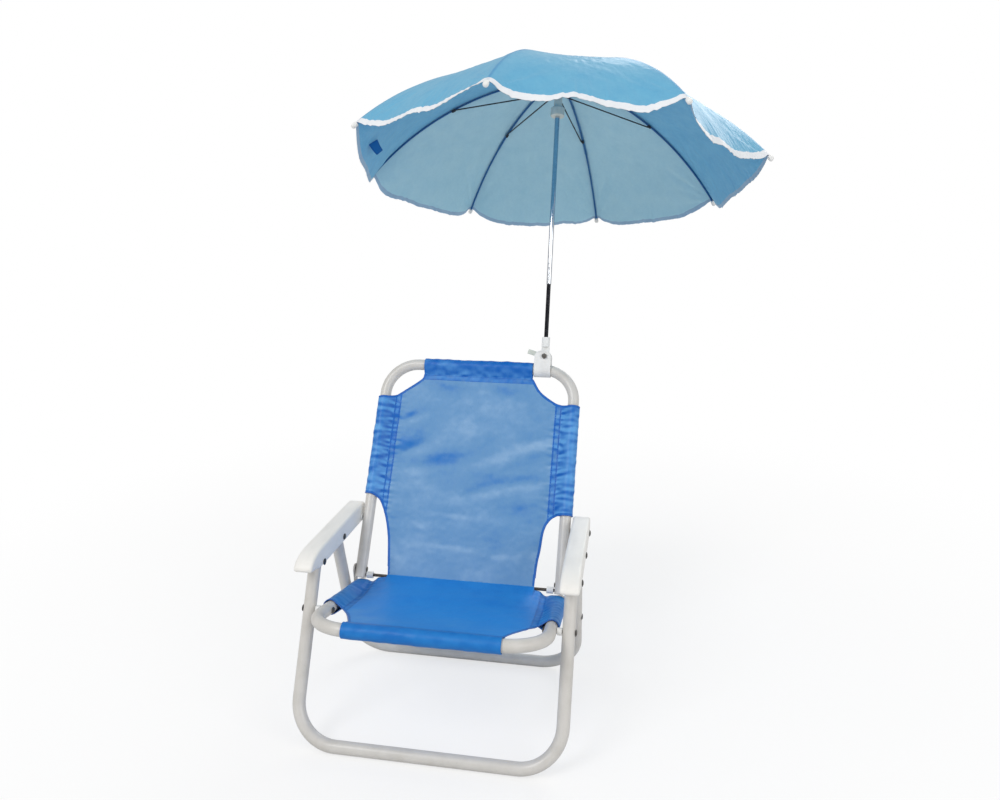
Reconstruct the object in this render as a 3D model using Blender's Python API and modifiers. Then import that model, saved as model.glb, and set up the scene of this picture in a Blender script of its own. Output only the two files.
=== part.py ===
"""Folding beach chair with a clamp-on umbrella. Metres, +Z up, the front faces -Y."""

import math

import bmesh
import bpy
from mathutils import Matrix, Vector

# Driving dimensions
TUBE_RADIUS = 0.0095
LEG_HALF_SPAN = 0.195
ARM_FRONT_HEIGHT = 0.2453
ARM_REAR_HEIGHT = 0.2493
SEAT_BOLT_HEIGHT = 0.1818
REAR_BAR_REACH = 0.271
HINGE_REACH = 0.15185
HINGE_RISE = 0.02736
BACK_LENGTH = 0.3672
MAST_TO_TIPS = 0.357
CANOPY_RADIUS = 0.3675
CANOPY_RISE = 0.166
GAP = 0.0003

# Between leg and rail lie the hinge plate and the prop plate
PLATE_THICKNESS = 0.002
PROP_THICKNESS = 0.0027
PLATE_CLEARANCE = 0.0022
PLATES = GAP + PLATE_THICKNESS + PLATE_CLEARANCE + PROP_THICKNESS + GAP
RAIL_HALF_SPAN = LEG_HALF_SPAN - 2 * TUBE_RADIUS - PLATES
RAIL_OUTER = RAIL_HALF_SPAN + TUBE_RADIUS
RAIL_INNER = RAIL_HALF_SPAN - TUBE_RADIUS

# The clamp sits where the top bar begins to bend
BACK_CORNER = 0.056
MAST_PAST_BEND = 0.001
MAST_OFFSET = RAIL_HALF_SPAN - BACK_CORNER + MAST_PAST_BEND

# Slopes and angles
FRONT_LEG_SLOPE = 0.4625
REAR_LEG_SLOPE = 0.3207
SEAT_SLOPE = math.radians(13.0)
BACK_LEAN = math.radians(30.8)
MAST_LEAN = math.radians(15.69)
FIRST_RIB_ANGLE = math.radians(-99.3)
RIB_COUNT = 8
RIB_STEP = 2 * math.pi / RIB_COUNT
QUARTER = math.pi / 2
HALF_TURN = math.pi
FULL_TURN = 2 * math.pi

# Roundness of the pieces
ROUND_STEPS = 6
THIN_STEPS = 2
BEND_STEPS = 8
PIN_SIDES = 20
COLLAR_SIDES = 28
SMOOTH_ANGLE = math.radians(34)
FLAT_ANGLE = math.radians(1)
CORNER_ANGLE = math.radians(60)
WELD_SHARE = 0.0001
WELD = TUBE_RADIUS * WELD_SHARE

# Colours: name, red, green, blue, roughness, metallic
COLOURS = {
    "frame_paint": (0.86, 0.85, 0.82, 0.35, 0.0),
    "white_plastic": (0.88, 0.88, 0.87, 0.45, 0.0),
    "dark_steel": (0.10, 0.11, 0.13, 0.35, 0.9),
    "blue_cloth": (0.02, 0.17, 0.62, 0.5, 0.0),
    "pale_cloth": (0.42, 0.64, 0.85, 0.6, 0.0),
    "chrome": (0.75, 0.76, 0.78, 0.12, 1.0),
}

SIDES = {"left": -1, "right": 1}
SIDE_PLANE = Matrix(((0, 0, 1, 0), (1, 0, 0, 0), (0, 1, 0, 0), (0, 0, 0, 1)))


def clear_scene():
    for thing in list(bpy.data.objects):
        bpy.data.objects.remove(thing)


def material(name):
    red, green, blue, roughness, metallic = COLOURS[name]
    made = bpy.data.materials.get(name) or bpy.data.materials.new(name)
    made.use_nodes = True
    shader = made.node_tree.nodes["Principled BSDF"]
    shader.inputs["Base Color"].default_value = (red, green, blue, 1)
    shader.inputs["Roughness"].default_value = roughness
    shader.inputs["Metallic"].default_value = metallic
    made.diffuse_color = (red, green, blue, 1)
    return made


# Shapes
def evaluated_mesh(data, modifiers=()):
    """The mesh of a curve, or of a mesh with modifiers, points at one place welded."""
    holder = bpy.data.objects.new("holder", data)
    bpy.context.scene.collection.objects.link(holder)
    for kind, settings in modifiers:
        modifier = holder.modifiers.new(kind.lower(), kind)
        for key, value in settings.items():
            setattr(modifier, key, value)
    graph = bpy.context.evaluated_depsgraph_get()
    mesh = bpy.data.meshes.new_from_object(holder.evaluated_get(graph))
    bpy.data.objects.remove(holder)
    shape = bmesh.new()
    shape.from_mesh(mesh)
    bmesh.ops.remove_doubles(shape, verts=shape.verts, dist=WELD)
    bmesh.ops.recalc_face_normals(shape, faces=shape.faces)
    shape.to_mesh(mesh)
    shape.free()
    return mesh


def tube(points, radius, round_steps=ROUND_STEPS):
    """A round bar along the points, its ends capped."""
    curve = bpy.data.curves.new("path", "CURVE")
    curve.dimensions = "3D"
    curve.bevel_depth = radius
    curve.bevel_resolution = round_steps
    curve.use_fill_caps = True
    spline = curve.splines.new("POLY")
    spline.points.add(len(points) - 1)
    for place, point in zip(spline.points, points):
        place.co = (*point, 1)
    return evaluated_mesh(curve)


def plate(outline, thickness, matrix):
    """A flat piece: the outline lies in the matrix's XY plane, half the thickness each way."""
    curve = bpy.data.curves.new("outline", "CURVE")
    curve.dimensions = "2D"
    curve.fill_mode = "BOTH"
    curve.extrude = thickness / 2
    spline = curve.splines.new("POLY")
    spline.use_cyclic_u = True
    spline.points.add(len(outline) - 1)
    for place, point in zip(spline.points, outline):
        place.co = (*point, 0, 1)
    mesh = evaluated_mesh(curve)
    mesh.transform(matrix)
    return mesh


def lathe(profile, matrix, sides=PIN_SIDES):
    """A turned piece about the matrix's Z. The profile runs down the outer side, axis to axis."""
    mesh = bpy.data.meshes.new("profile")
    points = [(radius, 0, height) for radius, height in profile]
    mesh.from_pydata(points, [(i, i + 1) for i in range(len(points) - 1)], [])
    turn = {
        "angle": FULL_TURN,
        "steps": sides,
        "render_steps": sides,
        "use_merge_vertices": True,
        "merge_threshold": WELD,
    }
    made = evaluated_mesh(mesh, [("SCREW", turn)])
    made.transform(matrix)
    return made


def bar(start, end, radius, sides=PIN_SIDES):
    """A straight round bar or bore between two points."""
    start, end = Vector(start), Vector(end)
    length = (end - start).length
    turned = along(end - start)
    shape = bmesh.new()
    bmesh.ops.create_cone(
        shape, cap_ends=True, segments=sides, radius1=radius, radius2=radius, depth=length,
        matrix=Matrix.Translation((start + end) / 2) @ turned,
    )
    mesh = bpy.data.meshes.new("bar")
    shape.to_mesh(mesh)
    shape.free()
    return mesh


def box(low, high):
    low, high = Vector(low), Vector(high)
    size = high - low
    shape = bmesh.new()
    bmesh.ops.create_cube(
        shape, size=1, matrix=Matrix.Translation((low + high) / 2) @ Matrix.Diagonal((*size, 1))
    )
    mesh = bpy.data.meshes.new("box")
    shape.to_mesh(mesh)
    shape.free()
    return mesh


def along(direction):
    """The rotation that takes +Z to the direction."""
    return Vector(direction).to_track_quat("Z", "Y").to_matrix().to_4x4()


def boolean(mesh, other, operation):
    helper = bpy.data.objects.new("helper", other)
    bpy.context.scene.collection.objects.link(helper)
    made = evaluated_mesh(
        mesh, [("BOOLEAN", {"operation": operation, "object": helper, "solver": "EXACT"})]
    )
    bpy.data.objects.remove(helper)
    return made


def joined(first, *others):
    for other in others:
        first = boolean(first, other, "UNION")
    return first


def bored(first, *cutters):
    for cutter in cutters:
        first = boolean(first, cutter, "DIFFERENCE")
    return first


def arc(centre, radius, start, end, steps):
    """Points on a circle, from one angle to another."""
    angles = [start + (end - start) * i / steps for i in range(steps + 1)]
    return [
        (centre[0] + radius * math.cos(angle), centre[1] + radius * math.sin(angle))
        for angle in angles
    ]


def sheet(rows, thickness):
    """A cloth panel: a loft through rows of points, with an even thickness."""
    columns = len(rows[0])
    points = [point for row in rows for point in row]
    faces = []
    for i in range(len(rows) - 1):
        for j in range(columns - 1):
            corner = i * columns + j
            faces.append((corner, corner + 1, corner + columns + 1, corner + columns))
    mesh = bpy.data.meshes.new("sheet")
    mesh.from_pydata(points, [], faces)
    thicken = {"thickness": thickness, "offset": 0}
    return evaluated_mesh(mesh, [("WELD", {"merge_threshold": WELD}), ("SOLIDIFY", thicken)])


# Bodies and nodes
def collection():
    name = "umbrella_chair"
    found = bpy.data.collections.get(name)
    if not found:
        found = bpy.data.collections.new(name)
        bpy.context.scene.collection.children.link(found)
    return found


def body(name, pivot, parent=None):
    """An empty at a joint's pivot. It carries the pieces that move together."""
    made = bpy.data.objects.new(name, None)
    collection().objects.link(made)
    made["pivot"] = tuple(pivot)
    made.empty_display_size = TUBE_RADIUS
    if parent:
        made.parent = parent
        made.location = Vector(pivot) - Vector(parent["pivot"])
    else:
        made.location = pivot
    return made


def place(name, mesh, colour, carrier):
    """One piece, its origin on the pivot of the body that carries it."""
    mesh.transform(Matrix.Translation(-Vector(carrier["pivot"])))
    mesh.name = name
    mesh.materials.clear()
    mesh.materials.append(material(colour))
    mesh.polygons.foreach_set("use_smooth", [True] * len(mesh.polygons))
    mesh.set_sharp_from_angle(angle=SMOOTH_ANGLE)
    made = bpy.data.objects.new(name, mesh)
    collection().objects.link(made)
    made.parent = carrier
    return made


# Points in the side view: y rearwards, z up
def front_leg_point(height):
    return Vector((0, FRONT_LEG_SLOPE * (height - TUBE_RADIUS), height))


def rear_leg_point(height):
    return Vector((0, REAR_BAR_REACH - REAR_LEG_SLOPE * (height - TUBE_RADIUS), height))


ARM_FRONT = front_leg_point(ARM_FRONT_HEIGHT)
SEAT_BOLT = front_leg_point(SEAT_BOLT_HEIGHT)
ARM_REAR = rear_leg_point(ARM_REAR_HEIGHT)
SEAT_ALONG = Vector((0, math.cos(SEAT_SLOPE), -math.sin(SEAT_SLOPE)))
SEAT_UP = Vector((0, math.sin(SEAT_SLOPE), math.cos(SEAT_SLOPE)))
HINGE = SEAT_BOLT + SEAT_ALONG * HINGE_REACH + SEAT_UP * HINGE_RISE
BACK_ALONG = Vector((0, math.sin(BACK_LEAN), math.cos(BACK_LEAN)))
BACK_FRONT = Vector((0, -math.cos(BACK_LEAN), math.sin(BACK_LEAN)))
TOP_BAR = HINGE + BACK_ALONG * BACK_LENGTH
MAST_FOOT = TOP_BAR + Vector((MAST_OFFSET, 0, 0))
MAST_UP = Vector((0, math.sin(MAST_LEAN), math.cos(MAST_LEAN)))
MAST = Matrix.Translation(MAST_FOOT) @ Matrix.Rotation(-MAST_LEAN, 4, "X")
ACROSS = Vector((1, 0, 0))


def seat_point(x, distance, height):
    return SEAT_BOLT + ACROSS * x + SEAT_ALONG * distance + SEAT_UP * height


def back_point(x, distance, forward):
    return HINGE + ACROSS * x + BACK_ALONG * distance + BACK_FRONT * forward


def u_path(half_span, length, corner, foot, direction):
    """A bent tube's path: down one leg, across the bar at the foot, up the other leg."""
    flat = [(-half_span, length)]
    flat += arc((corner - half_span, corner), corner, HALF_TURN, HALF_TURN + QUARTER, BEND_STEPS)
    flat += arc((half_span - corner, corner), corner, -QUARTER, 0, BEND_STEPS)
    flat.append((half_span, length))
    return [foot + ACROSS * x + direction * distance for x, distance in flat]


def cross_bore(point, radius):
    """A bore along X right through the chair at a side-view point."""
    reach = ACROSS * LEG_HALF_SPAN * 2
    return bar(point - reach, point + reach, radius)


def beside(point, outline):
    """An outline of the side view, given from a point of it."""
    return [(point.y + rearwards, point.z + upwards) for rearwards, upwards in outline]


# Bolts and rivets
BOLT_RADIUS = 0.0025
HEAD_RADIUS = 0.005
HEAD_HEIGHT = 0.0021
HEAD_CROWN_SHARE = 0.45
BORE_RADIUS = BOLT_RADIUS + GAP


def bolt(side, point, inner, outer, head_radius=HEAD_RADIUS, head_height=HEAD_HEIGHT):
    """A round-headed bolt along X. inner and outer are where its heads meet the pieces."""
    crown = head_radius * HEAD_CROWN_SHARE
    profile = [
        (0, outer + GAP + head_height), (crown, outer + GAP + head_height),
        (head_radius, outer + GAP + head_height * HEAD_CROWN_SHARE), (head_radius, outer + GAP),
        (BOLT_RADIUS, outer + GAP), (BOLT_RADIUS, inner - GAP), (head_radius, inner - GAP),
        (head_radius, inner - GAP - head_height * HEAD_CROWN_SHARE),
        (crown, inner - GAP - head_height), (0, inner - GAP - head_height),
    ]
    return lathe(profile, Matrix.Translation(point) @ along(ACROSS * side))


def ring(side, point, inner, outer, radius, bore):
    """A spacer or washer along X."""
    profile = [(bore, inner), (bore, outer), (radius, outer), (radius, inner), (bore, inner)]
    return lathe(profile, Matrix.Translation(point) @ along(ACROSS * side))


# Legs
LEG_CORNER = 0.062
FRONT_LEG_OVER = 0.011
REAR_LEG_OVER = 0.008
PROP_RIVET_HEIGHT = 0.1216
FRONT_UP = (front_leg_point(1) - front_leg_point(0)).normalized()
REAR_UP = (rear_leg_point(1) - rear_leg_point(0)).normalized()
FLOOR_BAR = front_leg_point(TUBE_RADIUS)
REAR_FLOOR_BAR = rear_leg_point(TUBE_RADIUS)
PROP_RIVET = rear_leg_point(PROP_RIVET_HEIGHT)


def leg_frame(foot, direction, top, bores):
    length = (top - foot).length
    path = u_path(LEG_HALF_SPAN, length, LEG_CORNER, foot, direction)
    return bored(tube(path, TUBE_RADIUS), *[cross_bore(point, BORE_RADIUS) for point in bores])


def make_legs(front, rear):
    top = ARM_FRONT + FRONT_UP * FRONT_LEG_OVER
    place("front_leg_frame", leg_frame(FLOOR_BAR, FRONT_UP, top, (ARM_FRONT, SEAT_BOLT)),
          "frame_paint", front)
    top = ARM_REAR + REAR_UP * REAR_LEG_OVER
    place("rear_leg_frame", leg_frame(REAR_FLOOR_BAR, REAR_UP, top, (ARM_REAR, PROP_RIVET)),
          "frame_paint", rear)


# Armrests
ARM_CLEARANCE = 0.0029
ARM_ROOM = 0.002
ARM_WALL = 0.003
ARM_INNER = RAIL_OUTER + ARM_CLEARANCE
ARM_OUTER = LEG_HALF_SPAN + TUBE_RADIUS + ARM_ROOM + ARM_WALL
ARM_EDGE = 0.0022
ARM_EDGE_STEPS = 2
ARM_OUTLINE = (
    (-0.0491, -0.0018), (-0.0476, 0.0052), (-0.0426, 0.0119), (-0.0341, 0.0178),
    (-0.0211, 0.0226), (-0.0041, 0.0251), (0.0159, 0.0257), (0.1809, 0.0257),
    (0.1874, 0.0237), (0.1909, 0.0177), (0.1909, -0.0013), (0.1874, -0.0053),
)
ARM_HOLLOW = (
    (-0.0461, -0.0153), (-0.0461, -0.0018), (-0.0446, 0.0039), (-0.0401, 0.0095),
    (-0.0326, 0.0149), (-0.0201, 0.0196), (-0.0031, 0.0221), (0.0159, 0.0227),
    (0.1809, 0.0227), (0.1857, 0.0212), (0.1879, 0.0167), (0.1879, -0.0153),
)
ARM_BACK_DISTANCE = 0.0875
ARM_BACK = HINGE + BACK_ALONG * ARM_BACK_DISTANCE


def armrest(side):
    """A moulded channel, open underneath, its upper edges rounded."""
    middle = side * (ARM_INNER + ARM_OUTER) / 2
    width = ARM_OUTER - ARM_INNER
    where = Matrix.Translation((middle, 0, 0)) @ SIDE_PLANE
    outer = plate(beside(ARM_FRONT, ARM_OUTLINE), width, where)
    shape = bmesh.new()
    shape.from_mesh(outer)
    bmesh.ops.dissolve_limit(
        shape, angle_limit=FLAT_ANGLE, verts=shape.verts, edges=shape.edges
    )
    shape.to_mesh(outer)
    shape.free()
    rounding = {
        "width": ARM_EDGE, "segments": ARM_EDGE_STEPS, "limit_method": "ANGLE",
        "angle_limit": CORNER_ANGLE, "use_clamp_overlap": True,
    }
    outer = evaluated_mesh(outer, [("BEVEL", rounding)])
    hollow = plate(beside(ARM_FRONT, ARM_HOLLOW), width - 2 * ARM_WALL, where)
    bores = [cross_bore(point, BORE_RADIUS) for point in (ARM_FRONT, ARM_REAR, ARM_BACK)]
    return bored(outer, hollow, *bores)


def make_arms(arms):
    for name, side in SIDES.items():
        place(f"armrest_{name}", armrest(side), "white_plastic", arms)
        for place_name, point in (("front", ARM_FRONT), ("rear", ARM_REAR)):
            place(f"arm_{place_name}_bolt_{name}", bolt(side, point, ARM_INNER, ARM_OUTER),
                  "dark_steel", arms)
        make_arm_back_bolt(name, side, arms)


# The bolt between armrest and back rail. It ends short of the rail
ARM_SPACER_RADIUS = 0.006


def make_arm_back_bolt(name, side, arms):
    spacer = ring(side, ARM_BACK, RAIL_OUTER + GAP, ARM_INNER - GAP, ARM_SPACER_RADIUS, BORE_RADIUS)
    place(f"arm_spacer_{name}", spacer, "white_plastic", arms)
    profile = [
        (0, ARM_OUTER + GAP + HEAD_HEIGHT),
        (HEAD_RADIUS * HEAD_CROWN_SHARE, ARM_OUTER + GAP + HEAD_HEIGHT),
        (HEAD_RADIUS, ARM_OUTER + GAP + HEAD_HEIGHT * HEAD_CROWN_SHARE),
        (HEAD_RADIUS, ARM_OUTER + GAP), (BOLT_RADIUS, ARM_OUTER + GAP),
        (BOLT_RADIUS, RAIL_OUTER + GAP), (0, RAIL_OUTER + GAP),
    ]
    stub = lathe(profile, Matrix.Translation(ARM_BACK) @ along(ACROSS * side))
    place(f"arm_back_bolt_{name}", stub, "dark_steel", arms)


# Seat frame, its bolts and its hinge plates
SEAT_FRONT = 0.0845
SEAT_REAR = 0.163
SEAT_CORNER = 0.062
SEAT_SPACER_RADIUS = 0.0055
PLATE_INNER = RAIL_OUTER + GAP
PLATE_ROUND = 0.0085
PLATE_FOOT_ROUND = 0.0055
PLATE_OUTLINE = ((0, 0), (0.0012, -0.0278), (0.0007, -0.0338))
PLATE_PLACES = beside(HINGE, PLATE_OUTLINE)
PIN_PLACE = PLATE_PLACES[-1]
PIN_RADIUS = 0.003
PIN_BOSS = 0.0055
PIN_LENGTH = 0.0046


def hull(circles, steps):
    """The outline of a band laid round several discs, given as centre and radius."""
    points = []
    for centre, radius in circles:
        points += arc(centre, radius, 0, FULL_TURN, steps)[:-1]
    points = sorted(set(points))
    halves = []
    for ordered in (points, points[::-1]):
        chain = []
        for point in ordered:
            while len(chain) > 1 and turns_right(chain[-2], chain[-1], point):
                chain.pop()
            chain.append(point)
        halves += chain[:-1]
    return halves


def turns_right(first, second, third):
    ahead = (second[0] - first[0]) * (third[1] - first[1])
    return ahead - (second[1] - first[1]) * (third[0] - first[0]) <= 0


def hinge_plate(side):
    """A flat plate from the seat rail's end up to the back rail's hinge, with a stop pin."""
    middle = side * (PLATE_INNER + PLATE_THICKNESS / 2)
    circles = list(zip(PLATE_PLACES, (PLATE_ROUND, PLATE_FOOT_ROUND, PIN_BOSS)))
    flat = plate(hull(circles, PIN_SIDES), PLATE_THICKNESS,
                 Matrix.Translation((middle, 0, 0)) @ SIDE_PLANE)
    pin_centre = Vector((middle, *PIN_PLACE))
    pin = bar(pin_centre, pin_centre + ACROSS * side * (PLATE_THICKNESS / 2 + PIN_LENGTH),
              PIN_RADIUS)
    return bored(joined(flat, pin), cross_bore(HINGE, BORE_RADIUS))


def make_seat(front, seat):
    foot = SEAT_BOLT - SEAT_ALONG * SEAT_FRONT
    path = u_path(RAIL_HALF_SPAN, SEAT_FRONT + SEAT_REAR, SEAT_CORNER, foot, SEAT_ALONG)
    frame = bored(tube(path, TUBE_RADIUS), cross_bore(SEAT_BOLT, BORE_RADIUS))
    place("seat_frame", frame, "frame_paint", seat)
    leg_inner, leg_outer = LEG_HALF_SPAN - TUBE_RADIUS, LEG_HALF_SPAN + TUBE_RADIUS
    for name, side in SIDES.items():
        place(f"seat_bolt_{name}", bolt(side, SEAT_BOLT, RAIL_INNER, leg_outer),
              "dark_steel", front)
        spacer = ring(side, SEAT_BOLT, RAIL_OUTER + GAP, leg_inner - GAP,
                      SEAT_SPACER_RADIUS, BORE_RADIUS)
        place(f"seat_spacer_{name}", spacer, "white_plastic", front)
        place(f"hinge_plate_{name}", hinge_plate(side), "frame_paint", seat)
        make_hinge_rivet(name, side, seat)


HINGE_HEAD_RADIUS = 0.0042
HINGE_HEAD_HEIGHT = 0.0012


def make_hinge_rivet(name, side, seat):
    outer = PLATE_INNER + PLATE_THICKNESS
    rivet = bolt(side, HINGE, RAIL_INNER, outer, HINGE_HEAD_RADIUS, HINGE_HEAD_HEIGHT)
    place(f"hinge_rivet_{name}", rivet, "dark_steel", seat)


# Prop plates on the rear legs, with a cradle for the seat's stop pins
PROP_INNER = LEG_HALF_SPAN - TUBE_RADIUS - GAP - PROP_THICKNESS
PROP_ROUND = 0.0085
CRADLE_RIM = 0.0085
CRADLE_START = math.radians(140)
CRADLE_END = math.radians(305)
CRADLE_STEPS = 10


def prop_plate(side):
    """A plate up from the rear leg's rivet. Its cradle is open upwards and rearwards."""
    middle = side * (PROP_INNER + PROP_THICKNESS / 2)
    rivet = (PROP_RIVET.y, PROP_RIVET.z)
    circles = ((rivet, PROP_ROUND), (PIN_PLACE, CRADLE_RIM))
    where = Matrix.Translation((middle, 0, 0)) @ SIDE_PLANE
    flat = plate(hull(circles, PIN_SIDES), PROP_THICKNESS, where)
    cradle = arc(PIN_PLACE, PIN_RADIUS + GAP, CRADLE_START, CRADLE_END, CRADLE_STEPS)
    lip = CRADLE_RIM * 2
    end_way = CRADLE_END + QUARTER
    start_way = CRADLE_START - QUARTER
    cradle.append((cradle[-1][0] + lip * math.cos(end_way), cradle[-1][1] + lip * math.sin(end_way)))
    cradle.append((cradle[0][0] + lip * math.cos(start_way),
                   cradle[0][1] + lip * math.sin(start_way)))
    cutter = plate(cradle, PROP_THICKNESS * 3, where)
    return bored(flat, cutter, cross_bore(PROP_RIVET, BORE_RADIUS))


def make_props(rear):
    for name, side in SIDES.items():
        place(f"prop_plate_{name}", prop_plate(side), "frame_paint", rear)
        rivet = bolt(side, PROP_RIVET, PROP_INNER, LEG_HALF_SPAN + TUBE_RADIUS,
                     HEAD_RADIUS, HINGE_HEAD_HEIGHT)
        place(f"prop_rivet_{name}", rivet, "dark_steel", rear)


# Back frame and cross rod
BACK_UNDER = 0.0135
ROD_UNDER = 0.0085
ROD_RADIUS = 0.0025
ROD_SPACER_RADIUS = 0.0055
ROD_SPACER_LENGTH = 0.0109
ROD_SPACER_GAP = 0.0018
ROD_SPACER_END = RAIL_INNER - ROD_SPACER_GAP
ROD_SPACER_START = ROD_SPACER_END - ROD_SPACER_LENGTH
ROD = HINGE - BACK_ALONG * ROD_UNDER


def make_back(back):
    path = u_path(RAIL_HALF_SPAN, BACK_LENGTH + BACK_UNDER, BACK_CORNER, TOP_BAR, -BACK_ALONG)
    bores = (cross_bore(HINGE, BORE_RADIUS), cross_bore(ROD, ROD_RADIUS + GAP))
    place("back_frame", bored(tube(path, TUBE_RADIUS), *bores), "frame_paint", back)
    reach = ACROSS * (RAIL_OUTER - GAP)
    place("cross_rod", bar(ROD - reach, ROD + reach, ROD_RADIUS), "dark_steel", back)
    for name, side in SIDES.items():
        spacer = ring(side, ROD, ROD_SPACER_START, ROD_SPACER_END, ROD_SPACER_RADIUS,
                      ROD_RADIUS + GAP)
        place(f"rod_spacer_{name}", spacer, "white_plastic", back)


# Cloth
CLOTH = 0.0012
SLEEVE_RADIUS = 0.0114
SLEEVE_BORE = 0.0100
SLEEVE_SEAM = 0.0185
SLEEVE_OVERLAP = 0.004
TAIL_SHARE = 0.35
SLEEVE_STEPS = 12
CLOTH_COLUMNS = 12
SEAT_LENGTH = SEAT_FRONT + SEAT_REAR
SEAT_SLEEVE_SHARE = (0.4020, 0.9293)
SEAT_FRONT_INSET = 0.0565
SEAT_REAR_RISE = 0.0217
RISE_POWER = 1.5
ROOF_POWER = 3
SEAT_ROW_SHARE = (
    0.0626, 0.1152, 0.1636, 0.2283, 0.3010, 0.3616, 0.4081, 0.5434, 0.6848, 0.8061, 0.8747,
    0.9119,
)
SEAT_INSET = (
    0.0585, 0.0545, 0.0495, 0.0430, 0.0345, 0.0260, 0.0150, 0.0150, 0.0150, 0.0150, 0.0150,
    0.0235,
)
BACK_SLEEVE_SHARE = (0.3260, 0.8271)
BACK_TOP_INSET = 0.0670
CLAMP_CLEARANCE = 0.0197
BACK_CREASE = (-0.0062, 0.0039)
BACK_PLANE_SHARE = 0.1362
BACK_ROW_SHARE = (
    BACK_CREASE[0] / BACK_LENGTH, 0.0218, 0.0681, 0.1299, 0.2034, 0.2579, 0.2996, 0.3301,
    0.4357, 0.5719, 0.7081, 0.8224, 0.8339, 0.8551, 0.8897, 0.9259, 0.9559,
)
BACK_INSET = (
    0.0425, 0.0417, 0.0403, 0.0385, 0.0345, 0.0275, 0.0205, 0.0150, 0.0150, 0.0150, 0.0150,
    0.0150, 0.0305, 0.0485, 0.0615, 0.0690, 0.0725,
)


def sleeve(middle, length, direction, inward, seam):
    """A sleeve round a tube: a drop-shaped section with its tail at the seam."""
    touch = math.acos(SLEEVE_RADIUS / seam)
    outline = arc((0, 0), SLEEVE_RADIUS, touch, FULL_TURN - touch, SLEEVE_STEPS)
    tail = CLOTH * TAIL_SHARE
    outline += [(seam, -tail), (seam + SLEEVE_OVERLAP, -tail),
                (seam + SLEEVE_OVERLAP, tail), (seam, tail)]
    side = direction.cross(inward)
    turned = Matrix((inward, side, direction)).transposed().to_4x4()
    return plate(outline, length, Matrix.Translation(middle) @ turned)


def seat_distance(share):
    """A place along the seat rail, from the front bar to the rail's rear end."""
    return SEAT_LENGTH * share - SEAT_FRONT


def seat_panel():
    """The seat cloth. Towards the rear its middle rises to the rod."""
    rows = []
    first, last = SEAT_ROW_SHARE[0], SEAT_ROW_SHARE[-1]
    for share, inset in zip(SEAT_ROW_SHARE, SEAT_INSET):
        rise = SEAT_REAR_RISE * ((share - first) / (last - first)) ** RISE_POWER
        half = RAIL_HALF_SPAN - inset
        row = []
        for i in range(CLOTH_COLUMNS + 1):
            across = 2 * i / CLOTH_COLUMNS - 1
            height = rise * (1 - abs(across) ** ROOF_POWER)
            row.append(seat_point(across * half, seat_distance(share), height))
        rows.append(row)
    return sheet(rows, CLOTH)


def back_panel():
    """The back cloth. At its foot it stands forward to pass over the rod."""
    rows = []
    foot = BACK_ROW_SHARE[0]
    for share, inset in zip(BACK_ROW_SHARE, BACK_INSET):
        forward = BACK_CREASE[1] * max(0, 1 - (share - foot) / (BACK_PLANE_SHARE - foot))
        half = RAIL_HALF_SPAN - inset
        row = []
        for i in range(CLOTH_COLUMNS + 1):
            across = 2 * i / CLOTH_COLUMNS - 1
            row.append(back_point(across * half, BACK_LENGTH * share, forward))
        rows.append(row)
    return sheet(rows, CLOTH)


def make_seat_cloth(seat):
    start, end = [seat_distance(share) for share in SEAT_SLEEVE_SHARE]
    pieces = []
    for side in SIDES.values():
        middle = seat_point(side * RAIL_HALF_SPAN, (start + end) / 2, 0)
        pieces.append(sleeve(middle, end - start, SEAT_ALONG, ACROSS * -side, SLEEVE_SEAM))
    middle = seat_point(0, -SEAT_FRONT, 0)
    width = 2 * (RAIL_HALF_SPAN - SEAT_FRONT_INSET)
    pieces.append(sleeve(middle, width, ACROSS, SEAT_ALONG, SLEEVE_SEAM))
    foot = SEAT_BOLT - SEAT_ALONG * SEAT_FRONT
    length = SEAT_LENGTH + SEAT_REAR
    inside = tube(u_path(RAIL_HALF_SPAN, length, SEAT_CORNER, foot, SEAT_ALONG), SLEEVE_BORE)
    place("seat_fabric", bored(joined(seat_panel(), *pieces), inside), "blue_cloth", seat)


def make_back_cloth(back):
    start, end = [BACK_LENGTH * share for share in BACK_SLEEVE_SHARE]
    pieces = []
    for side in SIDES.values():
        middle = back_point(side * RAIL_HALF_SPAN, (start + end) / 2, 0)
        pieces.append(sleeve(middle, end - start, BACK_ALONG, ACROSS * -side, SLEEVE_SEAM))
    low, high = BACK_TOP_INSET - RAIL_HALF_SPAN, MAST_OFFSET - CLAMP_CLEARANCE
    middle = TOP_BAR + ACROSS * (low + high) / 2
    pieces.append(sleeve(middle, high - low, ACROSS, -BACK_ALONG, SLEEVE_SEAM))
    length = BACK_LENGTH + BACK_UNDER * 2
    inside = tube(u_path(RAIL_HALF_SPAN, length, BACK_CORNER, TOP_BAR, -BACK_ALONG), SLEEVE_BORE)
    place("back_fabric", bored(joined(back_panel(), *pieces), inside), "blue_cloth", back)


# Clamp. Its section wraps the top bar, wider where the bar bends, and two cheeks rise from it
CLAMP_OUTER = 0.0133
CLAMP_BORE = TUBE_RADIUS + GAP
CLAMP_HALF_WIDTH = 0.0144
CLAMP_RELIEF = 0.0114
CHEEK_GAP = 0.0043
CHEEK_TOP = 0.0335
CHEEK_ROUND = 0.0120
CLAMP_BOLT_RISE = 0.0235
CLAMP_BOLT_RADIUS = 0.0030
CLAMP_SHIFT = 0.0031
SLOT_FOOT = 0.0120
BOLT_HEAD_RADIUS = 0.0048
BOLT_HEAD_HEIGHT = 0.0030
HEX_SIDES = 6
NUT_START = CLAMP_OUTER + GAP
NUT_LENGTH = 0.0085
NUT_RADIUS = 0.0068
LEVER_LENGTH = 0.034
LEVER_THICKNESS = 0.0035
LEVER_HEIGHT = 0.0085
LEVER_ANGLE = math.radians(163)
FRONT_PLANE = Matrix(((1, 0, 0, 0), (0, 0, -1, 0), (0, 1, 0, 0), (0, 0, 0, 1)))


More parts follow.
